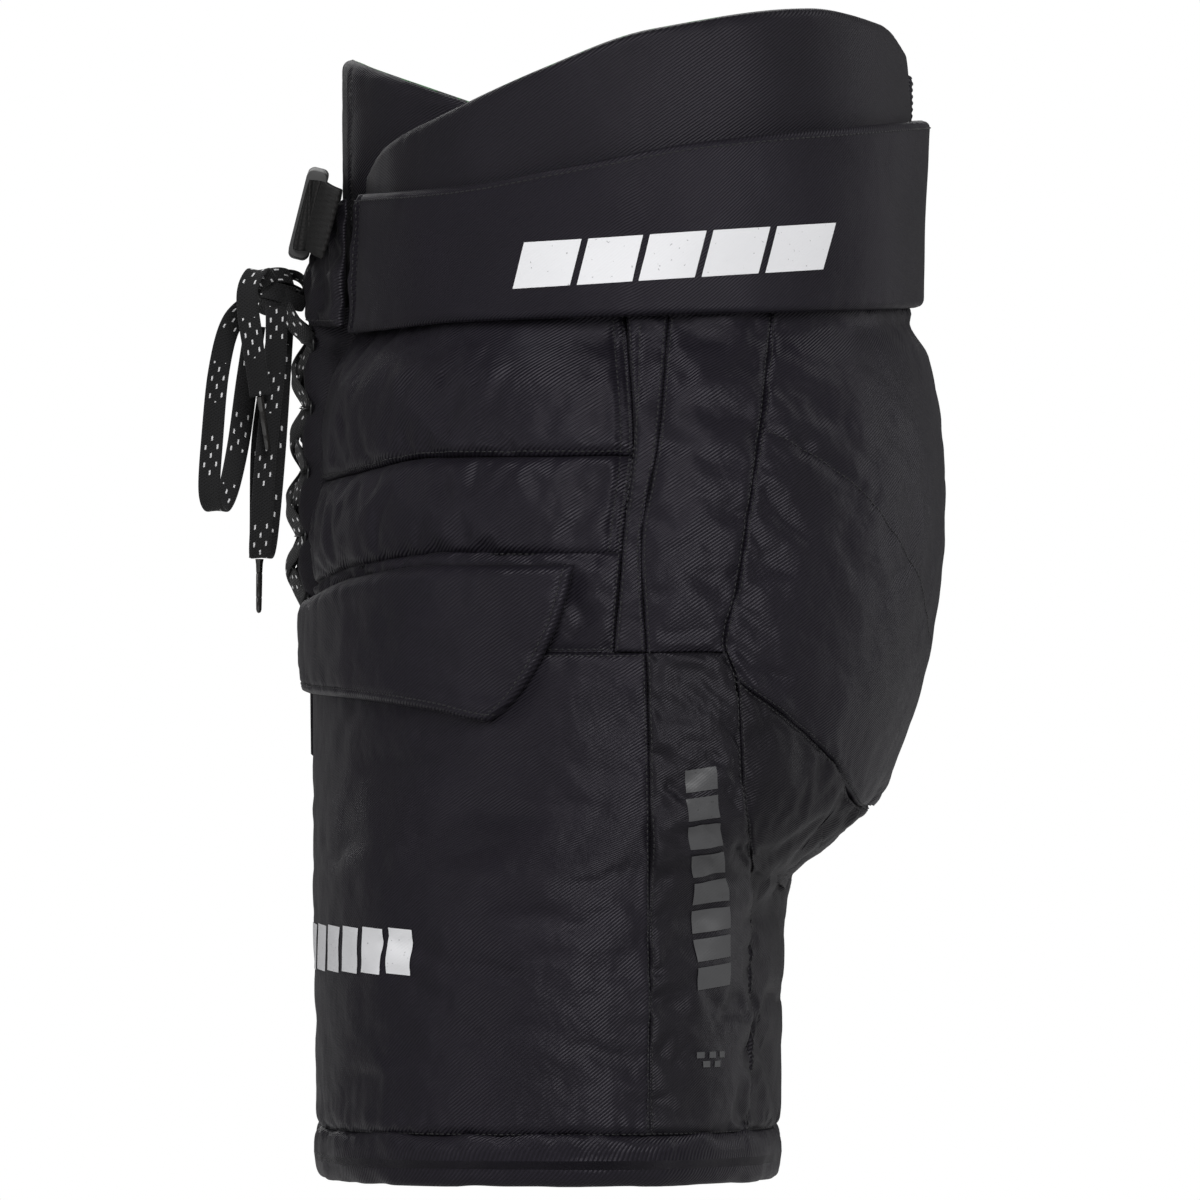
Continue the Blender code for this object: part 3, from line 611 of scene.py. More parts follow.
def stitch_run(lines, side):
    """Vertices and faces of sewn stitches: one small rounded thread for each step of each line."""
    profile = ((-0.5, 0.25, -0.7), (-0.36, 0.85, 0.0), (0.0, 1.0, 0.45), (0.36, 0.85, 0.0), (0.5, 0.25, -0.7))
    around = [math.pi / 3 * k for k in range(6)]
    vertices, faces = [], []
    for points, normals in lines:
        places, tangents, facings = resampled(np.asarray(points), np.asarray(normals), STITCH_PITCH)
        for place, tangent, facing in zip(places[:-1], tangents[:-1], facings[:-1]):
            across = np.cross(tangent, facing)
            first = len(vertices)
            for along, thick, rise in profile:
                middle = place + tangent * (along * STITCH_LENGTH) + facing * (rise * STITCH_RADIUS)
                for turn in around:
                    spoke = across * math.cos(turn) + facing * math.sin(turn)
                    vertices.append(middle + spoke * (STITCH_RADIUS * thick))
            for ring in range(len(profile) - 1):
                for k in range(6):
                    a = first + ring * 6 + k
                    b = first + ring * 6 + (k + 1) % 6
                    faces.append((a, b, b + 6, a + 6))
    faces = np.array(faces)
    if side < 0:
        faces = faces[:, ::-1]
    return mirrored(vertices, side), faces


def stitches(name, lines, side, material):
    vertices, faces = stitch_run(lines, side)
    return piece(name, mesh_of(name, vertices, faces), [material])


# ---------------------------------------------------------------- materials

class Finish:
    """Builds one material: constants on the shader's own sockets, patterns from nodes."""

    def __init__(self, name, **constants):
        self.material = bpy.data.materials.new(name)
        self.material.use_nodes = True
        self.tree = self.material.node_tree
        self.shader = self.tree.nodes["Principled BSDF"]
        for socket, value in constants.items():
            self.shader.inputs[socket.replace("_", " ")].default_value = value

    def node(self, kind, inputs=None, **settings):
        made = self.tree.nodes.new("ShaderNode" + kind)
        for name, value in settings.items():
            setattr(made, name, value)
        for socket, value in (inputs or {}).items():
            if isinstance(value, bpy.types.NodeSocket):
                self.tree.links.new(value, made.inputs[socket])
            else:
                made.inputs[socket].default_value = value
        return made

    def math(self, operation, a, b=0.0, c=0.0):
        return self.node("Math", {0: a, 1: b, 2: c}, operation=operation).outputs[0]

    def metres(self):
        return self.node("UVMap", uv_map="metres").outputs[0]

    def place(self):
        return self.node("TexCoord").outputs["Object"]

    def noise(self, where, cell, detail=2.0, stretch=(1.0, 1.0, 1.0)):
        scaled = self.node("Mapping", {"Vector": where, "Scale": stretch}).outputs[0]
        inputs = {"Vector": scaled, "Scale": 1.0 / cell, "Detail": detail}
        return self.node("TexNoise", inputs).outputs[0]

    def lines(self, where, pitch, turn, wobble=0.0):
        """Parallel lines of a pitch in metres, from 0 to 1, turned by an angle in the plane."""
        rotation = (0.0, 0.0, math.radians(turn))
        turned = self.node("Mapping", {"Vector": where, "Rotation": rotation}).outputs[0]
        inputs = {"Vector": turned, "Scale": math.pi / (10 * pitch), "Distortion": wobble}
        inputs["Detail Scale"] = 1.5
        return self.node("TexWave", inputs, wave_type="BANDS", bands_direction="X").outputs[1]

    def mix(self, share, first, second):
        made = self.node("Mix", {0: share, 6: (*first, 1.0), 7: (*second, 1.0)}, data_type="RGBA")
        return made.outputs[2]

    def colour(self, socket):
        self.tree.links.new(socket, self.shader.inputs["Base Color"])

    def roughness(self, middle, spread, share):
        value = self.math("MULTIPLY_ADD", share, spread, middle - spread / 2)
        self.tree.links.new(value, self.shader.inputs["Roughness"])

    def bumps(self, *layers):
        """Layers of (height, strength, distance in metres), finest last."""
        normal = None
        for height, strength, distance in layers:
            inputs = {"Height": height, "Strength": strength, "Distance": distance}
            if normal:
                inputs["Normal"] = normal
            normal = self.node("Bump", inputs).outputs[0]
        self.tree.links.new(normal, self.shader.inputs["Normal"])


def scaled_colour(colour, share):
    return tuple(channel * share for channel in colour)


def twill(name, colour, pitch=0.0012, turn=52.0, gloss=0.44, contrast=0.85, crumple=1.1):
    """Black nylon twill: fine diagonal ribs, thread to thread variation, soft crumples."""
    finish = Finish(name, Specular_IOR_Level=0.24, Sheen_Weight=0.02, Sheen_Roughness=0.4)
    finish.shader.inputs["Specular Tint"].default_value = (0.94, 0.90, 1.0, 1.0)
    metres, place = finish.metres(), finish.place()
    ribs = finish.lines(metres, pitch, turn, 0.02)
    threads = finish.noise(metres, 0.0009, 1.0, (0.35, 1.6, 1.0))
    patches = finish.noise(place, 0.030, 3.0)
    weave = finish.math("MULTIPLY_ADD", threads, 0.35, finish.math("MULTIPLY", ribs, 0.65))
    share = finish.math("MULTIPLY_ADD", patches, 0.35, finish.math("MULTIPLY", weave, 0.75))
    dark, light = scaled_colour(colour, 1 - contrast), scaled_colour(colour, 1 + contrast)
    finish.colour(finish.mix(share, dark, light))
    finish.roughness(gloss, 0.12, threads)
    creases = finish.noise(place, 0.009, 3.0)
    finish.bumps((patches, 0.35 * crumple, 0.006), (creases, 0.45 * crumple, 0.0016), (weave, 0.85, 0.00034))
    return finish.material


def contour_liner(name):
    """Brushed black lining printed with wandering green contour lines."""
    finish = Finish(name, Specular_IOR_Level=0.20, Sheen_Weight=0.2, Sheen_Roughness=0.5)
    place = finish.place()
    land = finish.noise(place, 0.034, 1.5)
    level_lines = finish.math("FRACT", finish.math("MULTIPLY", land, 17.0))
    edge = finish.math("ABSOLUTE", finish.math("SUBTRACT", level_lines, 0.5))
    band = finish.math("LESS_THAN", edge, 0.17)
    patch = finish.math("GREATER_THAN", finish.noise(place, 0.021, 0.0), 0.40)
    ink = finish.math("MULTIPLY", band, patch)
    finish.colour(finish.mix(ink, (0.008, 0.010, 0.009), (0.020, 0.200, 0.035)))
    nap = finish.noise(place, 0.0011, 2.0)
    finish.roughness(0.75, 0.15, nap)
    finish.bumps((nap, 0.5, 0.0004))
    return finish.material


def lining(name):
    """Plain knitted black lining."""
    finish = Finish(name, Specular_IOR_Level=0.2, Sheen_Weight=0.15, Sheen_Roughness=0.5)
    metres = finish.metres()
    columns = finish.lines(metres, 0.0016, 0.0, 0.4)
    rows = finish.lines(metres, 0.0019, 90.0, 0.4)
    knit = finish.math("MULTIPLY", columns, rows)
    folds = finish.noise(finish.place(), 0.022, 2.0)
    finish.colour(finish.mix(finish.math("MULTIPLY_ADD", folds, 0.5, finish.math("MULTIPLY", knit, 0.5)),
                             (0.007, 0.007, 0.008), (0.022, 0.022, 0.024)))
    finish.roughness(0.82, 0.12, knit)
    finish.bumps((folds, 0.4, 0.004), (knit, 0.5, 0.0003))
    return finish.material


def webbing_finish(name):
    """Polyester webbing: ribs across, chevron threads between."""
    finish = Finish(name, Specular_IOR_Level=0.2, Sheen_Weight=0.02)
    metres = finish.metres()
    ribs = finish.lines(metres, 0.0016, 90.0, 0.1)
    first = finish.lines(metres, 0.0013, 60.0)
    second = finish.lines(metres, 0.0013, -60.0)
    chevrons = finish.math("MULTIPLY_ADD", finish.math("MAXIMUM", first, second), 0.6, 0.4)
    weave = finish.math("MULTIPLY", ribs, chevrons)
    finish.colour(finish.mix(weave, (0.0015, 0.0015, 0.0015), (0.022, 0.021, 0.021)))
    finish.roughness(0.70, 0.15, weave)
    finish.bumps((weave, 1.0, 0.0006))
    return finish.material


def lace_finish(name):
    """Braided black lace with three rows of white tracer dashes, staggered from row to row."""
    finish = Finish(name, Specular_IOR_Level=0.25, Sheen_Weight=0.15)
    metres = finish.metres()
    parts = finish.node("SeparateXYZ", {"Vector": metres})
    across, along = parts.outputs[0], parts.outputs[1]
    white = None
    for offset, shift in ((-0.0024, 0.0), (0.0, 0.42), (0.0024, 0.81)):
        near = finish.math("ABSOLUTE", finish.math("SUBTRACT", across, offset))
        lean = finish.math("MULTIPLY_ADD", across, 60.0, shift)
        step = finish.math("FRACT", finish.math("MULTIPLY_ADD", along, 1 / 0.0070, lean))
        thin = finish.math("LESS_THAN", near, 0.00034)
        dash = finish.math("MULTIPLY", thin, finish.math("LESS_THAN", step, 0.27))
        white = dash if white is None else finish.math("MAXIMUM", white, dash)
    # The tracer threads dive under the braid for a stretch, so the dashes come in groups.
    shown = finish.math("LESS_THAN", finish.math("FRACT", finish.math("MULTIPLY", along, 1 / 0.030)), 0.55)
    white = finish.math("MULTIPLY", white, shown)
    one = finish.lines(metres, 0.0011, 55.0)
    other = finish.lines(metres, 0.0011, -55.0)
    braid = finish.math("MAXIMUM", one, other)
    black = finish.mix(braid, (0.003, 0.003, 0.003), (0.012, 0.012, 0.013))
    made = finish.node("Mix", {0: white, 6: black, 7: (0.75, 0.75, 0.76, 1.0)}, data_type="RGBA")
    finish.colour(made.outputs[2])
    finish.roughness(0.78, 0.1, braid)
    finish.bumps((finish.math("MULTIPLY_ADD", white, 0.6, braid), 0.7, 0.00035))
    return finish.material


def moulded(name, colour, gloss, coat=0.0):
    """Moulded plastic with a faint mould grain and handling marks."""
    finish = Finish(name, Specular_IOR_Level=0.5, Coat_Weight=coat, Coat_Roughness=0.12)
    place = finish.place()
    grain = finish.noise(place, 0.0006, 2.0)
    marks = finish.noise(place, 0.006, 4.0, (1.0, 1.0, 3.0))
    finish.colour(finish.mix(marks, scaled_colour(colour, 0.8), scaled_colour(colour, 1.3)))
    finish.roughness(gloss, 0.18, marks)
    finish.bumps((marks, 0.08, 0.0003), (grain, 0.15, 0.00005))
    return finish.material


def printed(name, colour):
    """Rubbery transfer print over twill, with a few fine cracks."""
    finish = Finish(name, Specular_IOR_Level=0.35)
    place = finish.place()
    wear = finish.noise(place, 0.0016, 4.0)
    speck = finish.math("LESS_THAN", wear, 0.30)
    finish.colour(finish.mix(speck, colour, scaled_colour(colour, 0.55)))
    finish.roughness(0.45, 0.15, wear)
    finish.bumps((finish.lines(finish.metres(), 0.00105, 52.0), 0.25, 0.0001))
    return finish.material


def thread_finish(name):
    finish = Finish(name, Specular_IOR_Level=0.35, Sheen_Weight=0.1)
    twist = finish.noise(finish.place(), 0.0004, 1.0)
    finish.colour(finish.mix(twist, (0.004, 0.004, 0.005), (0.016, 0.015, 0.018)))
    finish.roughness(0.5, 0.2, twist)
    finish.bumps((twist, 0.5, 0.0001))
    return finish.material


NYLON = (0.0076, 0.0064, 0.0100)
SOFT = (0.0078, 0.0070, 0.0094)
SHELL_CLOTH = twill("nylon_twill", NYLON)
# A darker copy of the nylon: painted shade for the rear panel, which lies under the seat's overhang.
REAR_SHADED_CLOTH = twill("nylon_rear_painted_shade", (0.0046, 0.0040, 0.0058), gloss=0.50)
PAD_CLOTH = twill("nylon_pad", (0.0086, 0.0076, 0.0106), pitch=0.0011, gloss=0.50, crumple=0.35)
BELT_CLOTH = twill("nylon_belt", NYLON, pitch=0.0012, gloss=0.50, crumple=0.50)
SOFT_CLOTH = twill("nylon_soft", SOFT, pitch=0.0010, gloss=0.44, contrast=0.35, crumple=1.3)
CONTOUR = contour_liner("liner_contour")
LINING = lining("liner_knit")
WEBBING = webbing_finish("webbing_weave")
LACE = lace_finish("lace_braid")
BUCKLE = moulded("buckle_moulding", (0.036, 0.036, 0.036), 0.54, 0.02)
AGLET = moulded("aglet_sleeve", (0.020, 0.019, 0.018), 0.18, 0.6)
EYELET = moulded("eyelet_ring", (0.012, 0.012, 0.013), 0.30)
PRINT_WHITE = printed("print_white", (0.80, 0.80, 0.82))
PRINT_GREY = printed("print_grey", (0.075, 0.075, 0.078))
THREAD = thread_finish("thread_black")


# ---------------------------------------------------------------- fixing pieces to bodies


def fix(obj, body, side, slot, replaces=(), fill=None, sheet=None):
    """Attaches a piece to the waist or another body; a piece of a leg or a flap only has its transform baked
    in.
    """
    if body == "leg":
        side_name("leg", side)
        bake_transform(obj)
    elif body == "flap":
        side_name("leg", side)
        side_name("flap", side) + "_body"
        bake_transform(obj)
    else:
        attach(obj, body)
    if replaces:
        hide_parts(*replaces)
    return obj


def inner_face(pad, thickness, radius):
    """Height of a pillow's inner face, which meets its outer face at the rim."""
    rim = -pad.drop
    share = pad.edges(radius)
    return rim + (-thickness - rim) * share


PILLOW_RIM = 0.003


def sewn(name, pad, side, body, slot, cloth, thickness, rows, fill=None, sheet=None):
    """One panel of a side as a pillow, with its rows of stitching as one more piece."""
    name = side_name(name, side)
    made = pillow_piece(name + "_cloth", pad, inner_face(pad, thickness, PILLOW_RIM), side, cloth)
    fix(made, body, side, slot, [name], fill, sheet)
    lines = [pad.row_at(*row) if isinstance(row[0], str) else row for row in rows]
    fix(stitches(name + "_stitching", lines, side, THREAD), body, side, slot)


def sewn_pair(name, pad, *settings, **soft):
    """The same panel on the wearer's left and right."""
    for side in (1, -1):
        sewn(name, pad, side, *settings, **soft)


def line_on(pad, patch, stations, count=60, lift=0.0):
    """A line given as (y, height) stations, laid on a pad's finished surface."""
    y, z = np.array(stations).T
    t = np.linspace(0, 1, len(y))
    fine = np.linspace(0, 1, count)
    u, v = patch.find(np.interp(fine, t, y), np.interp(fine, t, z))
    return pad.at(u, v, lift)


def smooth_stations(stations, steps=8):
    """A Catmull-Rom curve through a few points, as a tuple of points."""
    points = np.array(stations, float)
    ends = np.vstack([2 * points[0] - points[1], points, 2 * points[-1] - points[-2]])
    route = []
    for a, b, c, d in zip(ends, ends[1:], ends[2:], ends[3:]):
        for step in range(steps):
            t = step / steps
            curve = (c - a) * t + (2 * a - 5 * b + 4 * c - d) * t**2 + (3 * b - a - 3 * c + d) * t**3
            route.append(b + curve / 2)
    return np.array([*route, points[-1]])


# ---------------------------------------------------------------- waist panels

SEAM_DROP = 0.0011
SEAM_RADIUS = 0.0030
SHELL_LIFT = -0.0010
SPINE_PAD_FOOT_Z = 0.3440
SPINE_PAD_HEIGHT = 0.1020
SPINE_PAD_OVERLAP = 0.0022


def make_kidney_pads():
    rear = at_x(SPINE_X + 0.0010, 1)
    patch = ShellPatch(at_x(PAD_FRONT_X), rear, UNDER_BELT, smooth_line(PAD_TOP), lift=-0.0004)
    pad = Pad(patch, coarse=0.0026)
    pad.settle(0.0042, 0.0050, "lrt")
    pad.swell(0.0010, 0.030, 3)
    pad.pucker(0.25, 5, "lrt")
    inner = inner_face(pad, 0.0090, 0.0045)
    for side in (1, -1):
        name = side_name("kidney_pad", side)
        made = pillow_piece(name + "_cloth", pad, inner, side, PAD_CLOTH, CONTOUR)
        fix(made, "waist", side, "nylon", [name], fill=0.9)


def make_belt():
    """One belt of padded nylon from the left front round the back to the right front."""
    foot, top = smooth_line(BELT_FOOT), smooth_line(BELT_TOP)
    half = ShellPatch(at_x(BELT_FRONT_X), BACK_CENTRE, foot, top, lift=0.0064)

    def locate(u, v):
        along = 1 - np.abs(2 * u - 1)
        points, normals = half(along, v)
        turn = np.where(u > 0.5, -1.0, 1.0)
        points[..., 0] *= turn
        normals[..., 0] *= turn
        return points, normals

    pad = Pad(locate, coarse=0.0030)
    pad.settle(0.0030, 0.0036)
    pad.swell(0.0012, 0.034, 11)
    pad.pucker(0.30, 12, "bt")
    pad.pucker(0.45, 13, "lr")
    # The folded front ends are sewn down twice, and the band between the rows stands up.
    for distance in (pad.left, pad.right):
        pad.height += groove(distance - 0.0018, 0.0012, 0.0010) + groove(distance - 0.0100, 0.0019, 0.0015)
        ridge = np.exp(-(((distance - 0.0058) / 0.0030) ** 2))
        pad.height += ridge * (0.0007 + 0.0012 * value_noise(pad.low / 0.0042, distance / 0.02, 14))
    inner = inner_face(pad, 0.0062, 0.0030)
    made = pillow_piece("waist_belt_cloth", pad, inner, 1, BELT_CLOTH)
    fix(made, "waist", 1, "nylon", ["waist_belt_left", "waist_belt_right"], fill=0.7)
    rows = [pad.row_at(side, distance) for side in "lr" for distance in (0.0018, 0.0078, 0.0100)]
    rows += [pad.row_at("t", 0.0030)]
    fix(stitches("waist_belt_stitching", rows, 1, THREAD), "waist", 1, "nylon")

    def on_left_half(y, z):
        u, v = half.find(y, z)
        return u / 2, v

    make_marks("belt_mark", pad, BELT_MARKS, PRINT_WHITE, "waist", on_left_half, wraps=True)


def fractions(u, v):
    return u, v


def other_half(u, v):
    return 1 - u, v


def mark_mesh(pad, find, left, right, low, high, lean, rise, cells=12):
    """One leaning block printed on a pad; find turns its place into fractions of the pad."""
    s, t = np.meshgrid(np.linspace(0, 1, cells), np.linspace(0, 1, cells))
    across = left + (right - left) * s + lean * t
    up = low + (high - low) * t + rise * (across - left)
    points, _ = pad.at(*find(across, up), 0.00030)
    return points


# Each printed block: its left, right, low and high edge, then how far it leans and rises.
BELT_MARKS = [
    (-0.0380 + 0.0240 * k, -0.0166 + 0.0240 * k, 0.3585 + 0.00168 * k, 0.3770 + 0.00168 * k, 0.0044, 0.07)
    for k in range(5)
]
THIGH_MARKS = [(0.062 + 0.078 * k, 0.124 + 0.078 * k, 0.335, 0.430, 0.012, -0.06) for k in range(6)]
STRIP_MARKS = [(0.34, 0.66, 0.300 + 0.0585 * k, 0.346 + 0.0585 * k, 0.0, 0.03) for k in range(8)]
STRIP_MARKS += [(0.36 + 0.10 * k, 0.42 + 0.10 * k, 0.160, 0.173, 0.0, 0.0) for k in range(3)]
STRIP_MARKS += [(0.41 + 0.10 * k, 0.47 + 0.10 * k, 0.141, 0.154, 0.0, 0.0) for k in range(2)]


def make_marks(name, pad, marks, material, body, find=fractions, wraps=False):
    """Plain printed blocks in place of lettering. A wrapping pad carries those of both sides."""
    for side in (1, -1):
        vertices, faces, uv = [], [], []
        for mark in marks:
            if wraps and side < 0:
                points = mark_mesh(pad, lambda across, up: other_half(*find(across, up)), *mark)[:, ::-1]
            else:
                points = mark_mesh(pad, find, *mark)
            start = sum(len(part) for part in vertices)
            vertices.append(points.reshape(-1, 3))
            faces.append(grid_faces(*points.shape[:2]) + start)
            uv.append(points.reshape(-1, 3)[:, 1:])
        flip = side < 0 and not wraps
        all_vertices = mirrored(np.concatenate(vertices), -1 if flip else 1)
        all_faces = np.concatenate(faces)
        if flip:
            all_faces = all_faces[:, ::-1]
        mesh = mesh_of(name, all_vertices, all_faces, np.concatenate(uv))
        fix(piece(side_name(name, side), mesh, [material]), body, side, "nylon")


def make_front_bands():
    start, stop = at_x(0.0228), upright(BAND_END_SEAM)
    upper = ShellPatch(start, stop, smooth_line(BAND_SPLIT), UNDER_BELT, lift=-0.0048)
    lower = ShellPatch(start, stop, smooth_line(BAND_FOOT), smooth_line(BAND_SPLIT), lift=-0.0048)
    for name, patch, seed in (("front_band_upper", upper, 21), ("front_band_lower", lower, 31)):
        pad = Pad(patch, coarse=0.0022)
        add_cloth(pad, crown=0.0052, grow=0.030, pressure=4.0, cap=0.0016, seed=seed)
        pad.settle(0.0020, 0.0040, "bt")
        pad.settle(0.0030, 0.0050, "l")
        pad.pucker(0.55, seed, "bt")
        pad.pucker(1.0, seed + 1, "lr")
        # Two rows of stitching hold the rear end flat.
        pad.height += groove(pad.right - 0.0015, 0.0008, 0.0009) + groove(pad.right - 0.0052, 0.0010, 0.0012)
        rows = [("r", 0.0015), ("r", 0.0052), ("b", 0.0016), ("l", 0.0024)]
        sewn_pair(name, pad, "waist", "nylon", SHELL_CLOTH, 0.0110, rows, fill=0.8)


def make_yoke():
    foot = smooth_line([(y, z + 0.0025) for y, z in BAND_FOOT])
    patch = ShellPatch(at_x(0.0228), upright(BAND_END_SEAM), level(LEG_TOP_Z), foot, lift=-0.0034)
    pad = Pad(patch, coarse=0.0020)
    add_cloth(pad, crown=0.0012, grow=0.045, pressure=1.5, cap=0.0016, seed=41)
    pad.settle(0.0012, 0.0030, "t")
    pad.pucker(1.0, 42)
    rows = [("b", 0.0013), ("r", 0.0012)]
    sewn_pair("thigh_yoke", pad, "waist", "nylon", SHELL_CLOTH, 0.0020, rows, sheet=(0.195, 0.038))


FOLD_LINE = ((0.0105, 0.3440), (0.0100, 0.3140), (0.0082, 0.2950), (0.0062, 0.2830), (0.0050, 0.2680))


def make_side_placket():
    front, rear = upright(BAND_END_SEAM), upright(SIDE_SEAM)
    patch = ShellPatch(front, rear, level(LEG_TOP_Z), UNDER_BELT, lift=SHELL_LIFT)
    pad = Pad(patch, coarse=0.0016)
    pad.swell(0.0005, 0.012, 51)
    pad.settle(0.0018, 0.0026, "lb")
    pad.settle(SEAM_DROP, 0.0022, "rt")
    pad.pucker(0.7, 52, "lrbt")
    fold, _ = line_on(pad, patch, FOLD_LINE)
    pad.crease(fold, 0.0009, 0.0009, 0.4, 53)
    stitched = line_on(pad, patch, FOLD_LINE)
    rows = [("l", 0.0013), ("r", 0.0014), stitched]
    sewn_pair("side_placket", pad, "waist", "nylon_soft", SHELL_CLOTH, 0.0024, rows, sheet=(0.016, 0.130))


def make_hip_panel():
    patch = ShellPatch(upright(SIDE_SEAM), upright(REAR_SEAM), level(LEG_TOP_Z), UNDER_BELT, lift=SHELL_LIFT)
    pad = Pad(patch, coarse=0.0022)
    add_cloth(pad, crown=0.0016, grow=0.020, pressure=2.5, cap=0.0014, seed=61)
    pad.settle(SEAM_DROP, SEAM_RADIUS)
    pad.pucker(0.7, 62)
    pad.pucker(0.8, 63, "t")
    rows = [("l", 0.0014), ("r", 0.0012)]
    sewn_pair("hip_panel", pad, "waist", "nylon", SHELL_CLOTH, 0.0040, rows, sheet=(0.040, 0.132))


def make_seat_panel():
    patch = ShellPatch(upright(REAR_SEAM), BACK_CENTRE, smooth_line(SEAT_SEAM), UNDER_BELT, lift=SHELL_LIFT)
    pad = Pad(patch, coarse=0.0024)
    add_cloth(pad, crown=0.0020, grow=0.022, pressure=3.0, cap=0.0022, seed=71)
    pad.settle(SEAM_DROP, SEAM_RADIUS, "lb")
    pad.settle(0.0022, 0.0050, "rt")
    pad.pucker(0.8, 72, "lrb")
    # The top is gathered under the belt, most of all towards the back.
    gather = np.clip((pad.base[..., 1] - 0.095) / 0.03, 0.25, 1.0)
    ripple = value_noise(pad.uv[..., 0] / 0.0085, pad.high / 0.05, 73)
    pad.height += 0.0019 * gather * ripple * np.exp(-pad.high / 0.017) * np.clip(pad.high / 0.002, 0, 1)
    quilt = smooth_stations(SEAT_QUILT)
    line, _ = line_on(pad, patch, quilt)
    pad.crease(line, 0.0024, 0.0028, 0.7, 74)
    stitched = line_on(pad, patch, quilt)
    for fold in SEAT_FOLDS:
        pad.crease(line_on(pad, patch, fold, 30)[0], 0.0015, 0.0028)
    rows = [("l", 0.0012), ("b", 0.0013), stitched]
    sewn_pair("seat_panel", pad, "waist", "nylon", SHELL_CLOTH, 0.0090, rows, fill=0.7)


def make_spine_pad():
    def point_at(u, v):
        x = (SPINE_X + SPINE_PAD_OVERLAP) * (2 * u - 1)
        z = SPINE_PAD_FOOT_Z + SPINE_PAD_HEIGHT * v
        angle = angle_at_x(np.maximum(np.abs(x), 0.0016), z, 1)
        return np.stack([x, shell_point(angle, z)[..., 1], z], axis=-1)

    pad = Pad(surface(point_at, (0, 1, 0)), coarse=0.0024)
    pad.height -= 0.0010
    pad.settle(0.0042, 0.0050, "lrt")
    pad.pucker(0.5, 81, "lrt")
    made = pillow_piece("spine_pad_cloth", pad, inner_face(pad, 0.0105, 0.0045), 1, SHELL_CLOTH, CONTOUR)
    fix(made, "waist", 1, "nylon_soft", ["spine_pad"], fill=0.8)
    lines = [pad.row_at("l", 0.0052), pad.row_at("r", 0.0052), pad.row_at("t", 0.0052)]
    fix(stitches("spine_pad_stitching", lines, 1, THREAD), "waist", 1, "nylon_soft")


def make_fly():
    middle_y = smooth_line(((0.343, -0.1235), (0.365, -0.1215), (0.380, -0.1185), (0.396, -0.1155)))

    def placket_at(u, v):
        z = 0.3430 + (0.0525 - 0.0210 * np.abs(1 - u) ** 1.3) * v
        x = 0.0006 + (BELT_FRONT_X - 0.0004) * u
        y = middle_y(z) + (-0.1105 - middle_y(z)) * u * u
        return np.stack([x, y, z], axis=-1)

    def strip_at(u, v):
        z = 0.2150 + 0.1360 * v
        x = 0.0005 + 0.0270 * u
        # The cloth stands out in soft lumps between the rows of lacing.
        # Its flank runs in under the bands.
        lump = np.abs(np.sin(math.pi * (z - LACING_ROWS[-1]) / LACING_STEP)) ** 0.7
        flank = np.clip((u - 0.62) / 0.38, 0, 1) ** 1.5
        face = strip_y(z) - 0.0042 * lump * (1 - 0.4 * u)
        return np.stack([x, face + (front_y(z) + 0.0090 - face) * flank, z], axis=-1)

    pad = Pad(surface(placket_at, (0, -1, 0)), coarse=0.0016)
    add_cloth(pad, crown=0.0016, grow=0.080, pressure=1.2, cap=0.0022, seed=91)
    pad.settle(0.0022, 0.0032)
    pad.pucker(1.1, 92)
    # Slack folds run in from the end of the belt, where the cloth is caught in its stitching.
    fan = pad.uv[..., 1] + 0.30 * pad.right * (pad.uv[..., 1] / 0.0525 - 0.5)
    fold = 1.5 * np.abs(value_noise(fan / 0.0095, pad.right / 0.070, 94)) - 0.5
    standing = 1.5 * np.abs(value_noise((pad.right + 0.25 * pad.low) / 0.0075, pad.low / 0.080, 95)) - 0.5
    pad.height += (0.0012 * fold + 0.0024 * standing) * np.exp(-pad.right / 0.050) * pad.edges(0.005)
    strip = Pad(surface(strip_at, (0, -1, 0)), coarse=0.0020)
    strip.settle(0.0012, 0.0030, "l")
    strip.pucker(0.8, 93)
    for side in (1, -1):
        rows = [("l", 0.0030), ("t", 0.0026), ("b", 0.0026)]
        sewn("fly_placket", pad, side, "waist", "nylon_soft", SOFT_CLOTH, 0.0034, rows, sheet=(0.061, 0.053))
        rows = [("l", 0.0025)]
        sewn("fly_strip", strip, side, "waist", "nylon_soft", SOFT_CLOTH, 0.0032, rows, sheet=(0.032, 0.142))
        eyelets = [(0.0175, float(strip_y(z)) - 0.0002, z) for z in LACING_ROWS]
        make_eyelets(side_name("fly_eyelets", side), eyelets, side)


# ---------------------------------------------------------------- belly pad

BELLY_RADIUS = 0.0880
BELLY_CENTRE_Y = -0.0220
BELLY_HALF_ANGLE = math.radians(68)
BELLY_FOOT_Z = 0.3475
BELLY_TIP_Z = 0.4510
BELLY_CORNER_Z = 0.4320
BELLY_SEAM_ANGLE = math.radians(15.5)


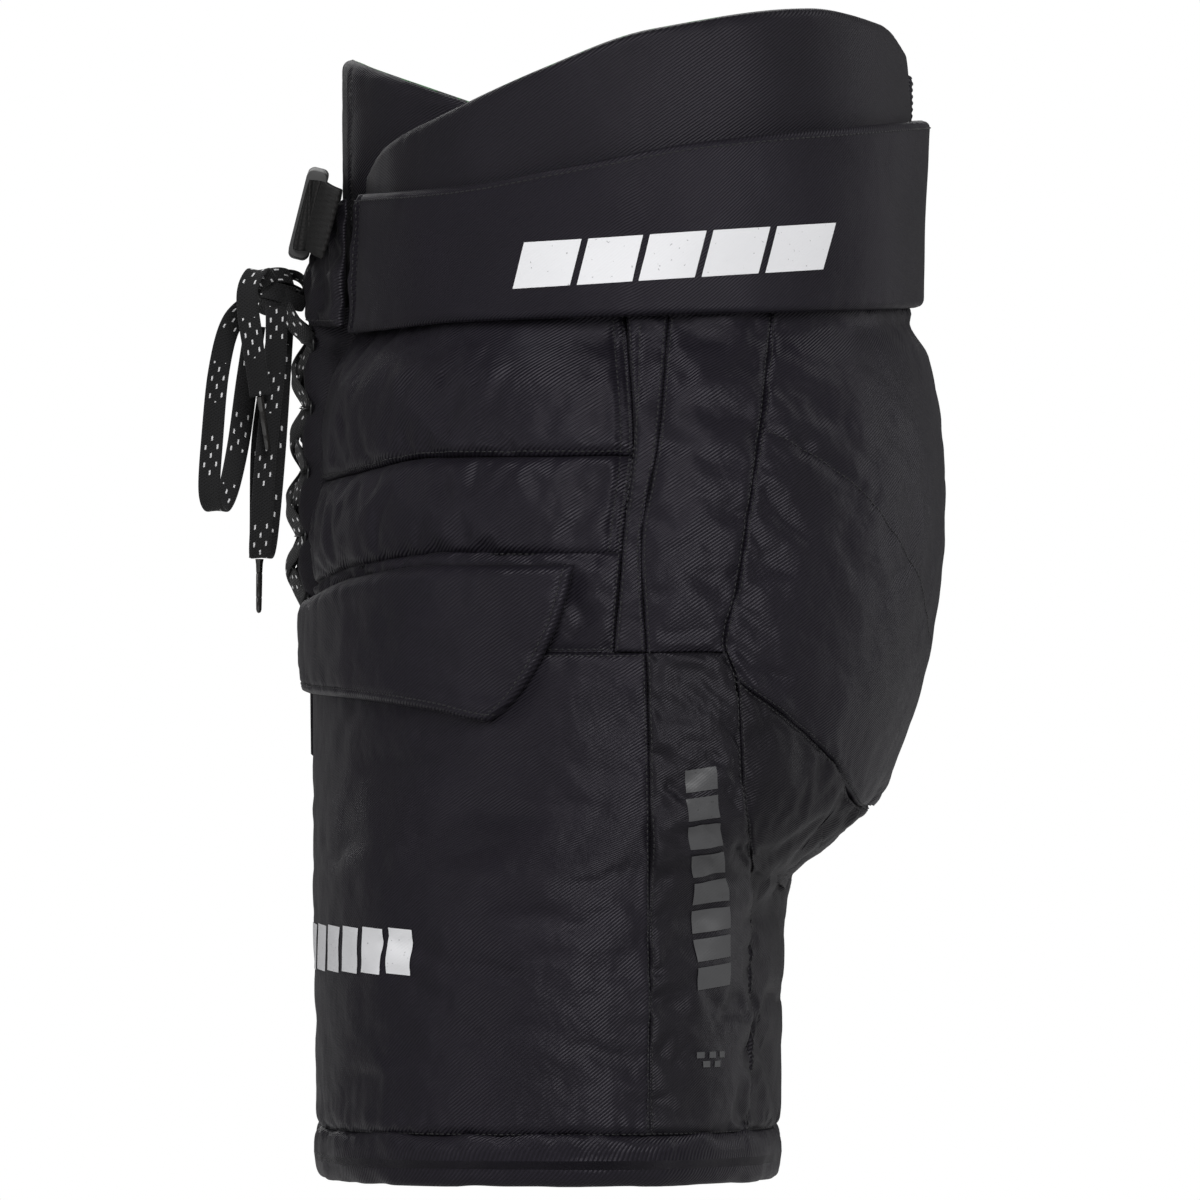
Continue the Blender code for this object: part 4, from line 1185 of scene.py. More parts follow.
def make_belly_pad():
    def point_at(u, v):
        angle = BELLY_HALF_ANGLE * (2 * u - 1)
        top = BELLY_TIP_Z - (BELLY_TIP_Z - BELLY_CORNER_Z) * np.abs(2 * u - 1) ** 1.7
        z = BELLY_FOOT_Z + (top - BELLY_FOOT_Z) * v
        x = BELLY_RADIUS * np.sin(angle)
        y = BELLY_CENTRE_Y - BELLY_RADIUS * np.cos(angle)
        return np.stack([x, y, z], axis=-1)

    pad = Pad(surface(point_at, (0, -1, 0)), coarse=0.0024)
    pad.height -= 0.0006
    pad.settle(0.0040, 0.0048, "lrt")
    pad.swell(0.0010, 0.028, 101)
    pad.pucker(0.5, 102, "lrt")
    rows = []
    for side in (1, -1):
        angle = np.full(40, side * BELLY_SEAM_ANGLE)
        u = (angle / BELLY_HALF_ANGLE + 1) / 2
        v = np.linspace(0.0, 0.97, 40)
        line, _ = pad.at(u, v)
        pad.crease(line, 0.0012, 0.0014, 0.5, 103 + side)
        rows.append(pad.at(u + side * 0.006, v))
    made = pillow_piece("belly_pad_cloth", pad, inner_face(pad, 0.0088, 0.0042), 1, PAD_CLOTH, CONTOUR)
    fix(made, "belly", 1, "nylon", ["belly_pad"], fill=0.85)
    fix(stitches("belly_pad_stitching", rows, 1, THREAD), "belly", 1, "nylon")


# ---------------------------------------------------------------- legs

def make_thigh_panel():
    patch = ShellPatch(FRONT_CENTRE, upright(SIDE_SEAM), level(LEG_FOOT_Z), level(LEG_TOP_Z), lift=SHELL_LIFT)
    pad = Pad(patch, coarse=0.0026)
    add_cloth(pad, crown=0.0018, grow=0.012, pressure=3.0, cap=0.0018, seed=111)
    pad.settle(SEAM_DROP, SEAM_RADIUS, "lr")
    pad.settle(0.0018, 0.0030, "t")
    pad.settle(0.0030, 0.0060, "b")
    pad.pucker(0.6, 112, "lrt")
    ripple = value_noise(pad.uv[..., 0] / 0.0045, pad.low / 0.03, 113)
    pad.height += 0.0026 * (np.abs(ripple) - 0.3) * np.exp(-pad.low / 0.009) * np.clip(pad.low / 0.0015, 0, 1)
    # One upright fold runs up from the hem near the side.
    fold = line_on(pad, patch, ((-0.0215, 0.0200), (-0.0200, 0.0550)), 30)[0]
    pad.crease(fold, 0.0014, 0.0022)
    rows = [("r", 0.0012), ("t", 0.0013), ("b", 0.0012)]
    sewn_pair("thigh_panel", pad, "leg", "nylon", SHELL_CLOTH, 0.0055, rows, fill=0.6)
    make_marks("thigh_mark", pad, THIGH_MARKS, PRINT_WHITE, "leg")


STRIP_FOLDS = (
    ((0.0544, 0.1280), (0.0372, 0.1488), (0.0224, 0.1604)),
    ((0.0532, 0.1228), (0.0440, 0.1348), (0.0352, 0.1448)),
    ((0.0388, 0.2096), (0.0452, 0.2060), (0.0500, 0.1988)),
    ((0.0360, 0.0760), (0.0460, 0.0690), (0.0540, 0.0660)),
)
SEAT_FOLDS = (
    ((0.0470, 0.2170), (0.0560, 0.2090), (0.0680, 0.2030)),
    ((0.1190, 0.2040), (0.1130, 0.1800), (0.1060, 0.1660)),
)


def make_side_strip():
    front, rear = upright(SIDE_SEAM), upright(REAR_SEAM)
    patch = ShellPatch(front, rear, level(LEG_FOOT_Z), level(LEG_TOP_Z), lift=SHELL_LIFT)
    pad = Pad(patch, coarse=0.0020)
    add_cloth(pad, crown=0.0010, grow=0.030, pressure=1.5, cap=0.0014, seed=121)
    pad.settle(SEAM_DROP, SEAM_RADIUS, "lrt")
    pad.settle(0.0030, 0.0060, "b")
    pad.pucker(1.0, 122, "lrt")
    # Slack cloth: shallow folds slant across the strip, more of them near the top.
    slant = pad.uv[..., 1] + 0.35 * pad.uv[..., 0]
    for fold in STRIP_FOLDS:
        pad.crease(line_on(pad, patch, fold, 30)[0], 0.0013, 0.0017)
    calm = pad.edges(0.010)
    ripple = value_noise(slant / 0.0080, pad.uv[..., 0] / 0.05, 123)
    pad.height += 0.0007 * calm * ripple * (0.4 + 0.6 * pad.low / 0.19)
    rows = [("l", 0.0012), ("r", 0.0012), ("b", 0.0012)]
    sewn_pair("side_strip", pad, "leg", "nylon_soft", SOFT_CLOTH, 0.0028, rows, sheet=(0.058, 0.194))
    make_marks("strip_mark", pad, STRIP_MARKS, PRINT_GREY, "leg")


def make_rear_panel():
    foot, top = level(LEG_FOOT_Z), smooth_line(SEAT_SEAM)
    patch = ShellPatch(upright(REAR_SEAM), BACK_CENTRE, foot, top, lift=SHELL_LIFT)
    pad = Pad(patch, coarse=0.0024)
    add_cloth(pad, crown=0.0014, grow=0.028, pressure=1.5, cap=0.0020, seed=131)
    pad.settle(SEAM_DROP, SEAM_RADIUS, "lrt")
    pad.settle(0.0030, 0.0060, "b")
    pad.pucker(1.0, 132)
    rows = [("l", 0.0012), ("t", 0.0013), ("b", 0.0012)]
    # The rear panel wears the darker nylon, which is painted shade from the seat's overhang.
    sewn_pair("rear_panel", pad, "leg", "nylon", REAR_SHADED_CLOTH, 0.0035, rows, sheet=(0.160, 0.150))


INNER_TOP = ((-0.1220, 0.2110), (-0.1050, 0.1950), (-0.0760, 0.1620), (-0.0560, 0.1500), (0.1100, 0.1490))


def make_inner_panel():
    foot, top = level(LEG_FOOT_Z), smooth_line(INNER_TOP)
    patch = ShellPatch(FRONT_CENTRE, BACK_CENTRE, foot, top, inner=True, lift=-0.0006)
    pad = Pad(patch, coarse=0.0034)
    pad.swell(0.0012, 0.025, 141)
    pad.settle(0.0012, 0.0030, "lrb")
    pad.pucker(0.8, 142, "lrb")
    rows = [("l", 0.0014), ("r", 0.0014)]
    sewn_pair("inner_panel", pad, "leg", "nylon_soft", SOFT_CLOTH, 0.0024, rows, sheet=(0.190, 0.145))


def leg_loop(z, count):
    """A closed loop round one leg at a height, with its outward directions in the plane."""
    angle = np.linspace(-math.pi / 2, math.pi / 2, 240)
    outer = shell_point(angle, z)[:, :2]
    inner = shell_point(angle[::-1], z, True)[:, :2]
    loop = np.concatenate([outer, inner[1:]])
    step = np.linalg.norm(np.diff(loop, axis=0), axis=1)
    along = np.concatenate([[0], np.cumsum(step)])
    at = np.linspace(0, along[-1], count, endpoint=False)
    loop = np.stack([np.interp(at, along, loop[:, k]) for k in range(2)], axis=-1)
    ahead = np.roll(loop, -2, axis=0) - np.roll(loop, 2, axis=0)
    ahead /= np.linalg.norm(ahead, axis=1, keepdims=True)
    return loop, np.stack([ahead[:, 1], -ahead[:, 0]], axis=-1), at


def ring_faces(rows, columns):
    """Quads of a grid that closes round both ways."""
    index = np.arange(rows * columns).reshape(rows, columns)
    after = np.roll(index, -1, axis=0)
    quads = np.stack([index, after, np.roll(after, -1, axis=1), np.roll(index, -1, axis=1)], axis=-1)
    return quads.reshape(-1, 4)


def tube_faces(rows, columns):
    """Quads of a grid whose rows close round, open at both ends."""
    index = np.arange(rows * columns).reshape(rows, columns)
    after = np.roll(index, -1, axis=1)
    quads = np.stack([index[:-1], after[:-1], after[1:], index[1:]], axis=-1)
    return quads.reshape(-1, 4)


HEM_COUNT = 300
HEM_PROFILE = 36


def make_hem():
    """A padded roll round the leg opening, flat underneath and puckered at its seam."""
    loop, outward, along = leg_loop(0.0105, HEM_COUNT)
    turn = np.linspace(0, 2 * math.pi, HEM_PROFILE, endpoint=False)
    power = 2 / 3.2
    wide = np.sign(np.cos(turn)) * np.abs(np.cos(turn)) ** power
    tall = np.sign(np.sin(turn)) * np.abs(np.sin(turn)) ** power
    grid_along, grid_turn = np.meshgrid(along, turn, indexing="ij")
    near_seam = np.exp(-(((grid_turn - 0.9) / 0.55) ** 2))
    fine = value_noise(grid_along / 0.0040, grid_turn / 2.0, 151)
    broad = value_noise(grid_along / 0.0130, grid_turn / 1.3, 152)
    swell = 0.0016 * (np.abs(fine) - 0.3) * near_seam + 0.0011 * broad
    out = -0.0042 + wide[None, :] * 0.0050 + wide[None, :] * swell
    height = 0.0106 + tall[None, :] * 0.0104 + 0.6 * tall[None, :] * swell
    height = np.maximum(height, 0.0001)
    rings = np.empty((HEM_COUNT, HEM_PROFILE, 3))
    rings[..., 0] = loop[:, None, 0] + outward[:, None, 0] * out
    rings[..., 1] = loop[:, None, 1] + outward[:, None, 1] * out
    rings[..., 2] = height
    uv = np.stack([grid_along, grid_turn * 0.006], axis=-1)
    for side in (1, -1):
        faces = ring_faces(HEM_COUNT, HEM_PROFILE)
        mesh = mesh_of("hem", mirrored(rings, side).reshape(-1, 3), faces, uv.reshape(-1, 2))
        if side < 0:
            mesh.flip_normals()
        name = side_name("hem", side)
        fix(piece(name + "_cloth", mesh, [SHELL_CLOTH]), "leg", side, "nylon", [name], fill=0.8)


LEG_LINER_FOOT_Z = 0.003
LEG_LINER_TOP_Z = 0.226
LEG_LINER_INSET = 0.0125
LEG_LINER_CROTCH_DROP = 0.0765
PELVIS_LINER_FOOT_Z = 0.1960
PELVIS_LINER_TOP_Z = 0.3500
PELVIS_LINER_DIP = 0.0160
PELVIS_LINER_DIP_REACH = 0.035


def make_leg_liner():
    """The lining tube of one leg; it hides the foam and the thigh guard, and ends at the crotch inside."""
    columns, rows = 120, 46
    share = np.linspace(0, 1, rows)
    heights = np.linspace(LEG_LINER_FOOT_Z, LEG_LINER_TOP_Z, 24)
    stack = np.array([leg_loop(z, columns)[0] for z in heights])
    rings = np.empty((rows, columns + 1, 3))
    for column in range(columns):
        foot = stack[0, column]
        # Columns on the inner thigh stop at the crotch, except close to the front.
        inner_share = np.clip((0.035 - foot[0]) / 0.015, 0, 1)
        front_share = np.clip((-0.085 - foot[1]) / 0.02, 0, 1)
        top = LEG_LINER_TOP_Z - LEG_LINER_CROTCH_DROP * inner_share * (1 - front_share)
        z = LEG_LINER_FOOT_Z + (top - LEG_LINER_FOOT_Z) * share
        x = np.interp(z, heights, stack[:, column, 0])
        y = np.interp(z, heights, stack[:, column, 1])
        middle_x = (side_x(z) + inner_x(z)) / 2
        middle_y = (front_y(z) + back_y(z)) / 2
        half_x = (side_x(z) - inner_x(z)) / 2
        half_y = (back_y(z) - front_y(z)) / 2
        rings[:, column, 0] = middle_x + (x - middle_x) * (1 - LEG_LINER_INSET / half_x)
        rings[:, column, 1] = middle_y + (y - middle_y) * (1 - LEG_LINER_INSET / half_y)
        rings[:, column, 2] = z
    rings[:, columns] = rings[:, 0]
    across = np.linspace(0, 0.60, columns + 1)
    uv = np.stack(np.meshgrid(across, share * 0.22), axis=-1)
    wrinkle = 0.0010 * value_noise(uv[..., 0] / 0.02, uv[..., 1] / 0.03, 161)
    wrinkle[:, -1] = wrinkle[:, 0]
    rings[..., 0] += wrinkle
    for side in (1, -1):
        faces = grid_faces(rows, columns + 1)
        if side > 0:
            faces = faces[:, ::-1]
        mesh = mesh_of("liner", mirrored(rings, side).reshape(-1, 3), faces, uv.reshape(-1, 2))
        made = piece(side_name("leg_liner", side), mesh, [LINING])
        nodes = [side_name("thigh_plate", side), side_name("thigh_foam", side)]
        fix(made, "leg", side, "foam", nodes, sheet=(0.60, 0.21))


def make_waist_liner():
    """The lining of the pelvis, in front of the hip, seat and tailbone guards."""
    columns, rows = 90, 40
    z = np.linspace(PELVIS_LINER_FOOT_Z, PELVIS_LINER_TOP_Z, rows)
    angle = np.linspace(-math.pi / 2, math.pi / 2, columns)
    grid_angle, grid_z = np.meshgrid(angle, z)
    # Its top edge dips behind the belly pad, which tilts over it.
    share = (grid_z - z[0]) / (z[-1] - z[0])
    in_front = -PELVIS_LINER_DIP_REACH - shell_point(grid_angle, grid_z)[..., 1]
    ahead = np.clip(in_front, 0, PELVIS_LINER_DIP_REACH) / PELVIS_LINER_DIP_REACH
    grid_z = grid_z - PELVIS_LINER_DIP * share**2 * ahead**2 * (3 - 2 * ahead)
    left = shell_point(grid_angle, grid_z)
    middle_y = (front_y(grid_z) + back_y(grid_z)) / 2
    half_y = (back_y(grid_z) - front_y(grid_z)) / 2
    # The lining lies further in over the padding of the seat and hips, and closes up under the belt.
    inset = np.interp(grid_z, (0.196, 0.22, 0.31, 0.345, 0.350), (0.0135, 0.0150, 0.0150, 0.0100, 0.0096))
    left[..., 0] *= 1 - inset / side_x(grid_z)
    left[..., 1] = middle_y + (left[..., 1] - middle_y) * (1 - inset / half_y)
    right = left[:, ::-1].copy()
    right[..., 0] *= -1
    points = np.concatenate([left, right[:, 1:]], axis=1)
    uv = np.stack(np.meshgrid(np.linspace(0, 0.92, points.shape[1]), z), axis=-1)
    wrinkle = 1 + 0.006 * value_noise(uv[..., 0] / 0.03, uv[..., 1] / 0.03, 171)
    wrinkle[:, -1] = wrinkle[:, 0]
    points[..., 0] *= wrinkle
    mesh = mesh_of("liner", points.reshape(-1, 3), grid_faces(*points.shape[:2])[:, ::-1], uv.reshape(-1, 2))
    made = piece("pelvis_liner", mesh, [LINING])
    nodes = ["tailbone_plate", "tailbone_foam"]
    nodes += [side_name(kind, side) for side in (1, -1) for kind in ("hip_plate", "hip_foam")]
    fix(made, "waist", 1, "foam", nodes, sheet=(0.92, 0.155))


# The crotch seam from back to front and up between the legs: y, height, half width.
CROTCH_LINE = (
    (0.0600, 0.1500, 0.0335), (0.0050, 0.1500, 0.0335), (-0.0500, 0.1500, 0.0335),
    (-0.0950, 0.1505, 0.0335), (-0.1105, 0.1560, 0.0180), (-0.1150, 0.1720, 0.0065),
    (-0.1160, 0.2020, 0.0065), (-0.1160, 0.2440, 0.0065),
)


def make_gusset():
    """A soft diamond of cloth where the legs meet, with a tongue up the front between them."""
    along = np.linspace(0, 1, len(CROTCH_LINE))
    y_line, z_line, half_width = (smooth_line(list(zip(along, column))) for column in zip(*CROTCH_LINE))

    def point_at(u, v):
        x = half_width(v) * (2 * u - 1)
        return np.stack([x, y_line(v), z_line(v)], axis=-1)

    pad = Pad(surface(point_at, (0, -0.4, -1)), coarse=0.0030)
    pad.swell(0.0006, 0.02, 181)
    pad.pucker(0.7, 182)
    made = pillow_piece("crotch_gusset_cloth", pad, inner_face(pad, 0.0026, 0.003), 1, SOFT_CLOTH)
    fix(made, "waist", 1, "nylon_soft", ["crotch_gusset"], sheet=(0.067, 0.185))


def make_flap():
    foot, top = smooth_line(FLAP_FOOT), smooth_line(FLAP_TOP)
    patch = ShellPatch(at_x(FLAP_FRONT_X), upright(FLAP_REAR), foot, top, lift=0.0060)
    pad = Pad(patch, coarse=0.0022)
    add_cloth(pad, crown=0.0012, grow=0.010, pressure=2.0, cap=0.0010, seed=191)
    pad.settle(0.0032, 0.0036, "lrb")
    pad.settle(0.0050, 0.0065, "t")
    pad.pucker(0.3, 192, "lrb")
    pad.pucker(0.5, 193, "t")
    edge = np.minimum(np.minimum(pad.left, pad.right), pad.low)
    pad.height += groove(edge - 0.0040, 0.0006, 0.0008)
    rows = [("l", 0.0040), ("r", 0.0040), ("b", 0.0040)]
    sewn_pair("flap", pad, "flap", "nylon", SHELL_CLOTH, 0.0062, rows, fill=0.7)
    make_flap_hinges()


def make_flap_hinges():
    """The hidden strip of cloth that hangs each flap from the band above it."""
    patch = ShellPatch(at_x(0.0320), upright([(z, y - 0.002) for z, y in FLAP_REAR]),
                       smooth_line([(y, z - 0.003) for y, z in FLAP_TOP]),
                       smooth_line([(y, z + 0.006) for y, z in BAND_FOOT]), lift=-0.0005)
    pad = Pad(patch, coarse=0.0024)
    for side in (1, -1):
        low = np.clip(1 - pad.high / pad.high.max(), 0, 1)
        pad.height = -0.0036 * low - 0.0062 * (1 - low)
        name = side_name("flap_hinge_strip", side)
        made = sheet_piece(name, pad, side, SHELL_CLOTH)
        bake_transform(made)


# ---------------------------------------------------------------- hard parts

def evaluated_mesh(obj):
    """The object's mesh with its modifiers applied, in place of them."""
    graph = bpy.context.evaluated_depsgraph_get()
    mesh = bpy.data.meshes.new_from_object(obj.evaluated_get(graph))
    obj.modifiers.clear()
    obj.data = mesh
    return obj


def block(size, centre=(0.0, 0.0, 0.0), taper=1.0):
    """A bmesh box of a size about a centre; taper narrows its +X end."""
    bm = bmesh.new()
    bmesh.ops.create_cube(bm, size=1.0)
    for vertex in bm.verts:
        share = taper if vertex.co.x > 0 else 1.0
        vertex.co = Vector((vertex.co.x * size[0], vertex.co.y * size[1], vertex.co.z * size[2] * share))
        vertex.co += Vector(centre)
    return bm


def object_of(name, bm, material=None):
    mesh = bpy.data.meshes.new(name)
    bm.to_mesh(mesh)
    bm.free()
    return piece(name, mesh, [material] if material else [])


def carved(obj, cutters, bevel=0.0008, segments=3):
    """Cuts blocks out of an object, then rounds every sharp edge."""
    made = []
    for number, cutter_bm in enumerate(cutters):
        cutter = object_of(f"{obj.name}_cutter_{number}", cutter_bm)
        modifier = obj.modifiers.new("cut", "BOOLEAN")
        modifier.operation = "DIFFERENCE"
        modifier.solver = "EXACT"
        modifier.object = cutter
        made.append(cutter)
    rounding = obj.modifiers.new("round", "BEVEL")
    rounding.width = bevel
    rounding.segments = segments
    rounding.limit_method = "ANGLE"
    rounding.angle_limit = math.radians(35)
    bpy.context.view_layer.update()
    evaluated_mesh(obj)
    for cutter in made:
        bpy.data.objects.remove(cutter, do_unlink=True)
    obj.data.shade_smooth()
    obj.data.set_sharp_from_angle(angle=math.radians(50))
    return obj


def joined(name, objects):
    """One object from several, keeping the first one's material."""
    bm = bmesh.new()
    material = objects[0].data.materials[0]
    for obj in objects:
        mesh = obj.data.copy()
        mesh.transform(obj.matrix_world)
        bm.from_mesh(mesh)
        bpy.data.meshes.remove(mesh)
        bpy.data.objects.remove(obj, do_unlink=True)
    made = object_of(name, bm, material)
    made.data.shade_smooth()
    made.data.set_sharp_from_angle(angle=math.radians(50))
    return made


BUCKLE_CENTRE = Vector((0.0, -0.1236, 0.3885))
BUCKLE_TILT = math.radians(-14)
BUCKLE_DEPTH = 0.0084
BUCKLE_WIDTH = 0.0380
STRAP_SLOT = (0.0035, 0.0120, 0.0305)
IN_BUCKLE = Matrix.Translation(BUCKLE_CENTRE) @ Matrix.Rotation(BUCKLE_TILT, 4, "X")


def in_place(obj):
    obj.data.transform(IN_BUCKLE)
    obj.data.update()
    return obj


def rounded_block(size, centre, radius, taper=1.0):
    """A block whose long edges, along the strap, are rounded."""
    bm = block(size, centre, taper)
    long_edges = []
    for edge in bm.edges:
        if abs((edge.verts[0].co - edge.verts[1].co).normalized().x) > 0.9:
            long_edges.append(edge)
    bmesh.ops.bevel(bm, geom=long_edges, offset=radius, segments=5, affect="EDGES", profile=0.5)
    return bm


def make_buckle():
    """A side-release buckle: a hollow socket with side windows, a plug with two springing prongs."""
    # Socket: a shell open towards the plug, with windows for the prong tips and a strap bar.
    shell = rounded_block((0.0375, BUCKLE_DEPTH, BUCKLE_WIDTH), (-0.01525, 0, 0), 0.0026)
    socket = object_of("buckle_socket_moulding", shell, BUCKLE)
    cutters = [block((0.0300, 0.0050, 0.0318), (-0.0095, 0, 0))]
    cutters += [block((0.0100, 0.0050, 0.0060), (-0.0160, 0, side * 0.0175)) for side in (1, -1)]
    cutters += [block(STRAP_SLOT, (-0.0292, 0, 0))]
    cutters += [block((0.0160, 0.0030, 0.0006), (-0.0100, -0.0046, 0.0040 * step)) for step in range(-2, 3)]
    in_place(carved(socket, cutters, 0.0007))
    fix(socket, "waist", 1, "buckle_plastic", ["buckle_socket"])

    # Plug: a plate with a strap slot and a ladder bar, and a centre tongue.
    body = rounded_block((0.0300, BUCKLE_DEPTH, BUCKLE_WIDTH), (0.0190, 0, 0), 0.0030, 0.94)
    plate = object_of("plug_plate", body, BUCKLE)
    cutters = [block(STRAP_SLOT, (x, 0, 0)) for x in (0.0295, 0.0215)]
    cutters += [block((0.0080, 0.0030, 0.0006), (0.0115, -0.0046, 0.0035 * step)) for step in range(-2, 3)]
    carved(plate, cutters, 0.0007)
    tongue = object_of("plug_tongue", block((0.0200, 0.0030, 0.0070), (-0.0050, 0, 0)), BUCKLE)
    carved(tongue, [], 0.0007)
    plug = in_place(joined("buckle_plug_moulding", [plate, tongue]))
    fix(plug, "plug", 1, "buckle_plastic", ["buckle_plug"])

    for side, name in ((1, "prong_upper"), (-1, "prong_lower")):
        arm = object_of("arm", block((0.0236, 0.0036, 0.0028), (-0.0085, 0, side * 0.0117)), BUCKLE)
        carved(arm, [], 0.0006)
        head = object_of("head", block((0.0085, 0.0036, 0.0050), (-0.0160, 0, side * 0.0128), 0.92), BUCKLE)
        carved(head, [], 0.0009)
        prong = in_place(joined(name + "_moulding", [arm, head]))
        fix(prong, name + "_body", 1, "buckle_plastic", [name])


def ribbon_piece(name, route, across, width, thickness, material, bow=0.0):
    """A flat band swept along a route. `across` gives its width's direction at each point."""
    route = np.asarray(route, float)
    across = np.broadcast_to(np.asarray(across, float), route.shape)
    tangent = np.gradient(route, axis=0)
    tangent /= np.linalg.norm(tangent, axis=1, keepdims=True)
    wide = across - tangent * (across * tangent).sum(axis=1, keepdims=True)
    wide /= np.linalg.norm(wide, axis=1, keepdims=True)
    thick = np.cross(tangent, wide)
    # The section is a flattened loop: two broad faces with rounded edges.
    turn = np.linspace(0, 2 * math.pi, 20, endpoint=False)
    a = np.sign(np.cos(turn)) * np.abs(np.cos(turn)) ** 0.55 * width / 2
    b = np.sin(turn) * thickness / 2
    curl = bow * (2 * a / width) ** 2
    rings = route[:, None, :] + wide[:, None, :] * a[None, :, None]
    rings = rings + thick[:, None, :] * (b + curl)[None, :, None]
    step = np.concatenate([[0], np.cumsum(np.linalg.norm(np.diff(route, axis=0), axis=1))])
    count, around = len(route), len(turn)
    faces = tube_faces(count, around).tolist()
    index = np.arange(count * around).reshape(count, around)
    faces += [index[0, ::-1].tolist(), index[-1].tolist()]
    uv = np.stack(np.broadcast_arrays(a[None, :], step[:, None]), axis=-1)
    mesh = bpy.data.meshes.new(name)
    mesh.from_pydata(rings.reshape(-1, 3).tolist(), [], faces)
    layer = mesh.uv_layers.new(name="metres")
    loops = np.empty(len(mesh.loops), int)
    mesh.loops.foreach_get("vertex_index", loops)
    layer.data.foreach_set("uv", uv.reshape(-1, 2)[loops].ravel())
    mesh.shade_smooth()
    bm = bmesh.new()
    bm.from_mesh(mesh)
    bmesh.ops.recalc_face_normals(bm, faces=bm.faces)
    bm.to_mesh(mesh)
    bm.free()
    return piece(name, mesh, [material])


def make_webbing():
    """Straps from the buckle to the belt ends, each folded round its bar."""
    tilt = np.array(IN_BUCKLE.to_3x3() @ Vector((0.0, 0.0, 1.0)))
    for side, body, name in ((1, "plug", "webbing_left"), (-1, "waist", "webbing_right")):
        end = 0.0328 if side > 0 else 0.0312
        stations = [(end - 0.0070, 0.0008), (end - 0.0035, -0.0018), (end + 0.0010, -0.0024)]
        stations += [(end + 0.0036, -0.0006), (end + 0.0044, 0.0018), (end + 0.0080, 0.0034)]
        stations += [(0.0540, 0.0062), (0.0668, 0.0096)]
        places = [np.array(BUCKLE_CENTRE) + (side * x, y, -0.12 * (x - end)) for x, y in stations]
        route = smooth_stations(places, 8)
        made = ribbon_piece(name + "_strap", route, tilt, 0.0288, 0.0016, WEBBING)
        fix(made, body, side, "webbing", [name])


LACING_ROWS = (0.336, 0.310, 0.284, 0.258, 0.232)
LACING_STEP = 0.0260
STRIP_STATIONS = ((0.216, -0.1215), (0.250, -0.1245), (0.300, -0.1225), (0.338, -0.1210), (0.352, -0.1160))
strip_y = smooth_line(STRIP_STATIONS)


def torus(centre, axis, radius, tube, around=28, section=12):
    """Vertices and quads of one ring."""
    axis = Vector(axis).normalized()
    turned = axis.to_track_quat("Z", "Y").to_matrix()
    a, b = np.meshgrid(np.linspace(0, 2 * math.pi, around, endpoint=False),
                       np.linspace(0, 2 * math.pi, section, endpoint=False), indexing="ij")
    reach = radius + tube * np.cos(b)
    local = np.stack([reach * np.cos(a), reach * np.sin(a), tube * 0.8 * np.sin(b)], axis=-1)
    points = local.reshape(-1, 3) @ np.array(turned).T + np.array(centre)
    return points, ring_faces(around, section)


def make_eyelets(name, places, side):
    vertices, faces = [], []
    for x, y, z in places:
        points, quads = torus((x, y, z), (0, -1, 0), 0.0026, 0.0008)
        faces.append(quads + sum(len(part) for part in vertices))
        vertices.append(points)
    all_faces = np.concatenate(faces)
    if side < 0:
        all_faces = all_faces[:, ::-1]
    mesh = mesh_of(name, mirrored(np.concatenate(vertices), side), all_faces)
    fix(piece(name, mesh, [EYELET]), "waist", side, "buckle_plastic")


LACE_WIDTH = 0.0090
LACE_THICKNESS = 0.0016
KNOT_CENTRE = Vector((0.0, -0.1365, 0.3560))
LOOP_A = (
    (0.0030, -0.1455, 0.3530), (0.0070, -0.1550, 0.3440), (0.0090, -0.1600, 0.3250),
    (0.0090, -0.1625, 0.2980), (0.0070, -0.1635, 0.2760), (0.0010, -0.1605, 0.2690),
    (-0.0040, -0.1565, 0.2760), (-0.0060, -0.1520, 0.2960), (-0.0060, -0.1485, 0.3200),
    (-0.0045, -0.1450, 0.3430),
)
LOOP_B = (
    (0.0040, -0.1365, 0.3530), (0.0085, -0.1365, 0.3440), (0.0110, -0.1375, 0.3250),
    (0.0120, -0.1410, 0.2900), (0.0100, -0.1430, 0.2570), (0.0050, -0.1425, 0.2500),
    (-0.0005, -0.1405, 0.2570), (-0.0020, -0.1375, 0.2900), (-0.0010, -0.1340, 0.3420),
)
TAIL_LONG = (
    (-0.0030, -0.1355, 0.3540), (-0.0085, -0.1355, 0.3440), (-0.0110, -0.1390, 0.3200),
    (-0.0110, -0.1430, 0.2900), (-0.0100, -0.1435, 0.2490),
)
TAIL_SHORT = (
    (0.0090, -0.1400, 0.3600), (0.0150, -0.1440, 0.3650), (0.0200, -0.1480, 0.3560),
    (0.0205, -0.1460, 0.3350), (0.0195, -0.1430, 0.3150),
)


def make_lace(
    name, stations, across=(0.0, 1.0, 0.0), width=LACE_WIDTH, bow=0.0008
):
    """One run of flat lace."""
    route = smooth_stations(stations, 14)
    turn = np.linspace(0, 1, len(route))[:, None]
    # The lace rolls a little as it hangs.
    roll = np.array(across) + np.array((0.35, 0.0, 0.0)) * np.sin(2.2 * math.pi * turn + len(stations))
    made = ribbon_piece(name + "_braid", route, roll, width, LACE_THICKNESS, LACE, bow)
    fix(made, "waist", 1, "lace", [name])


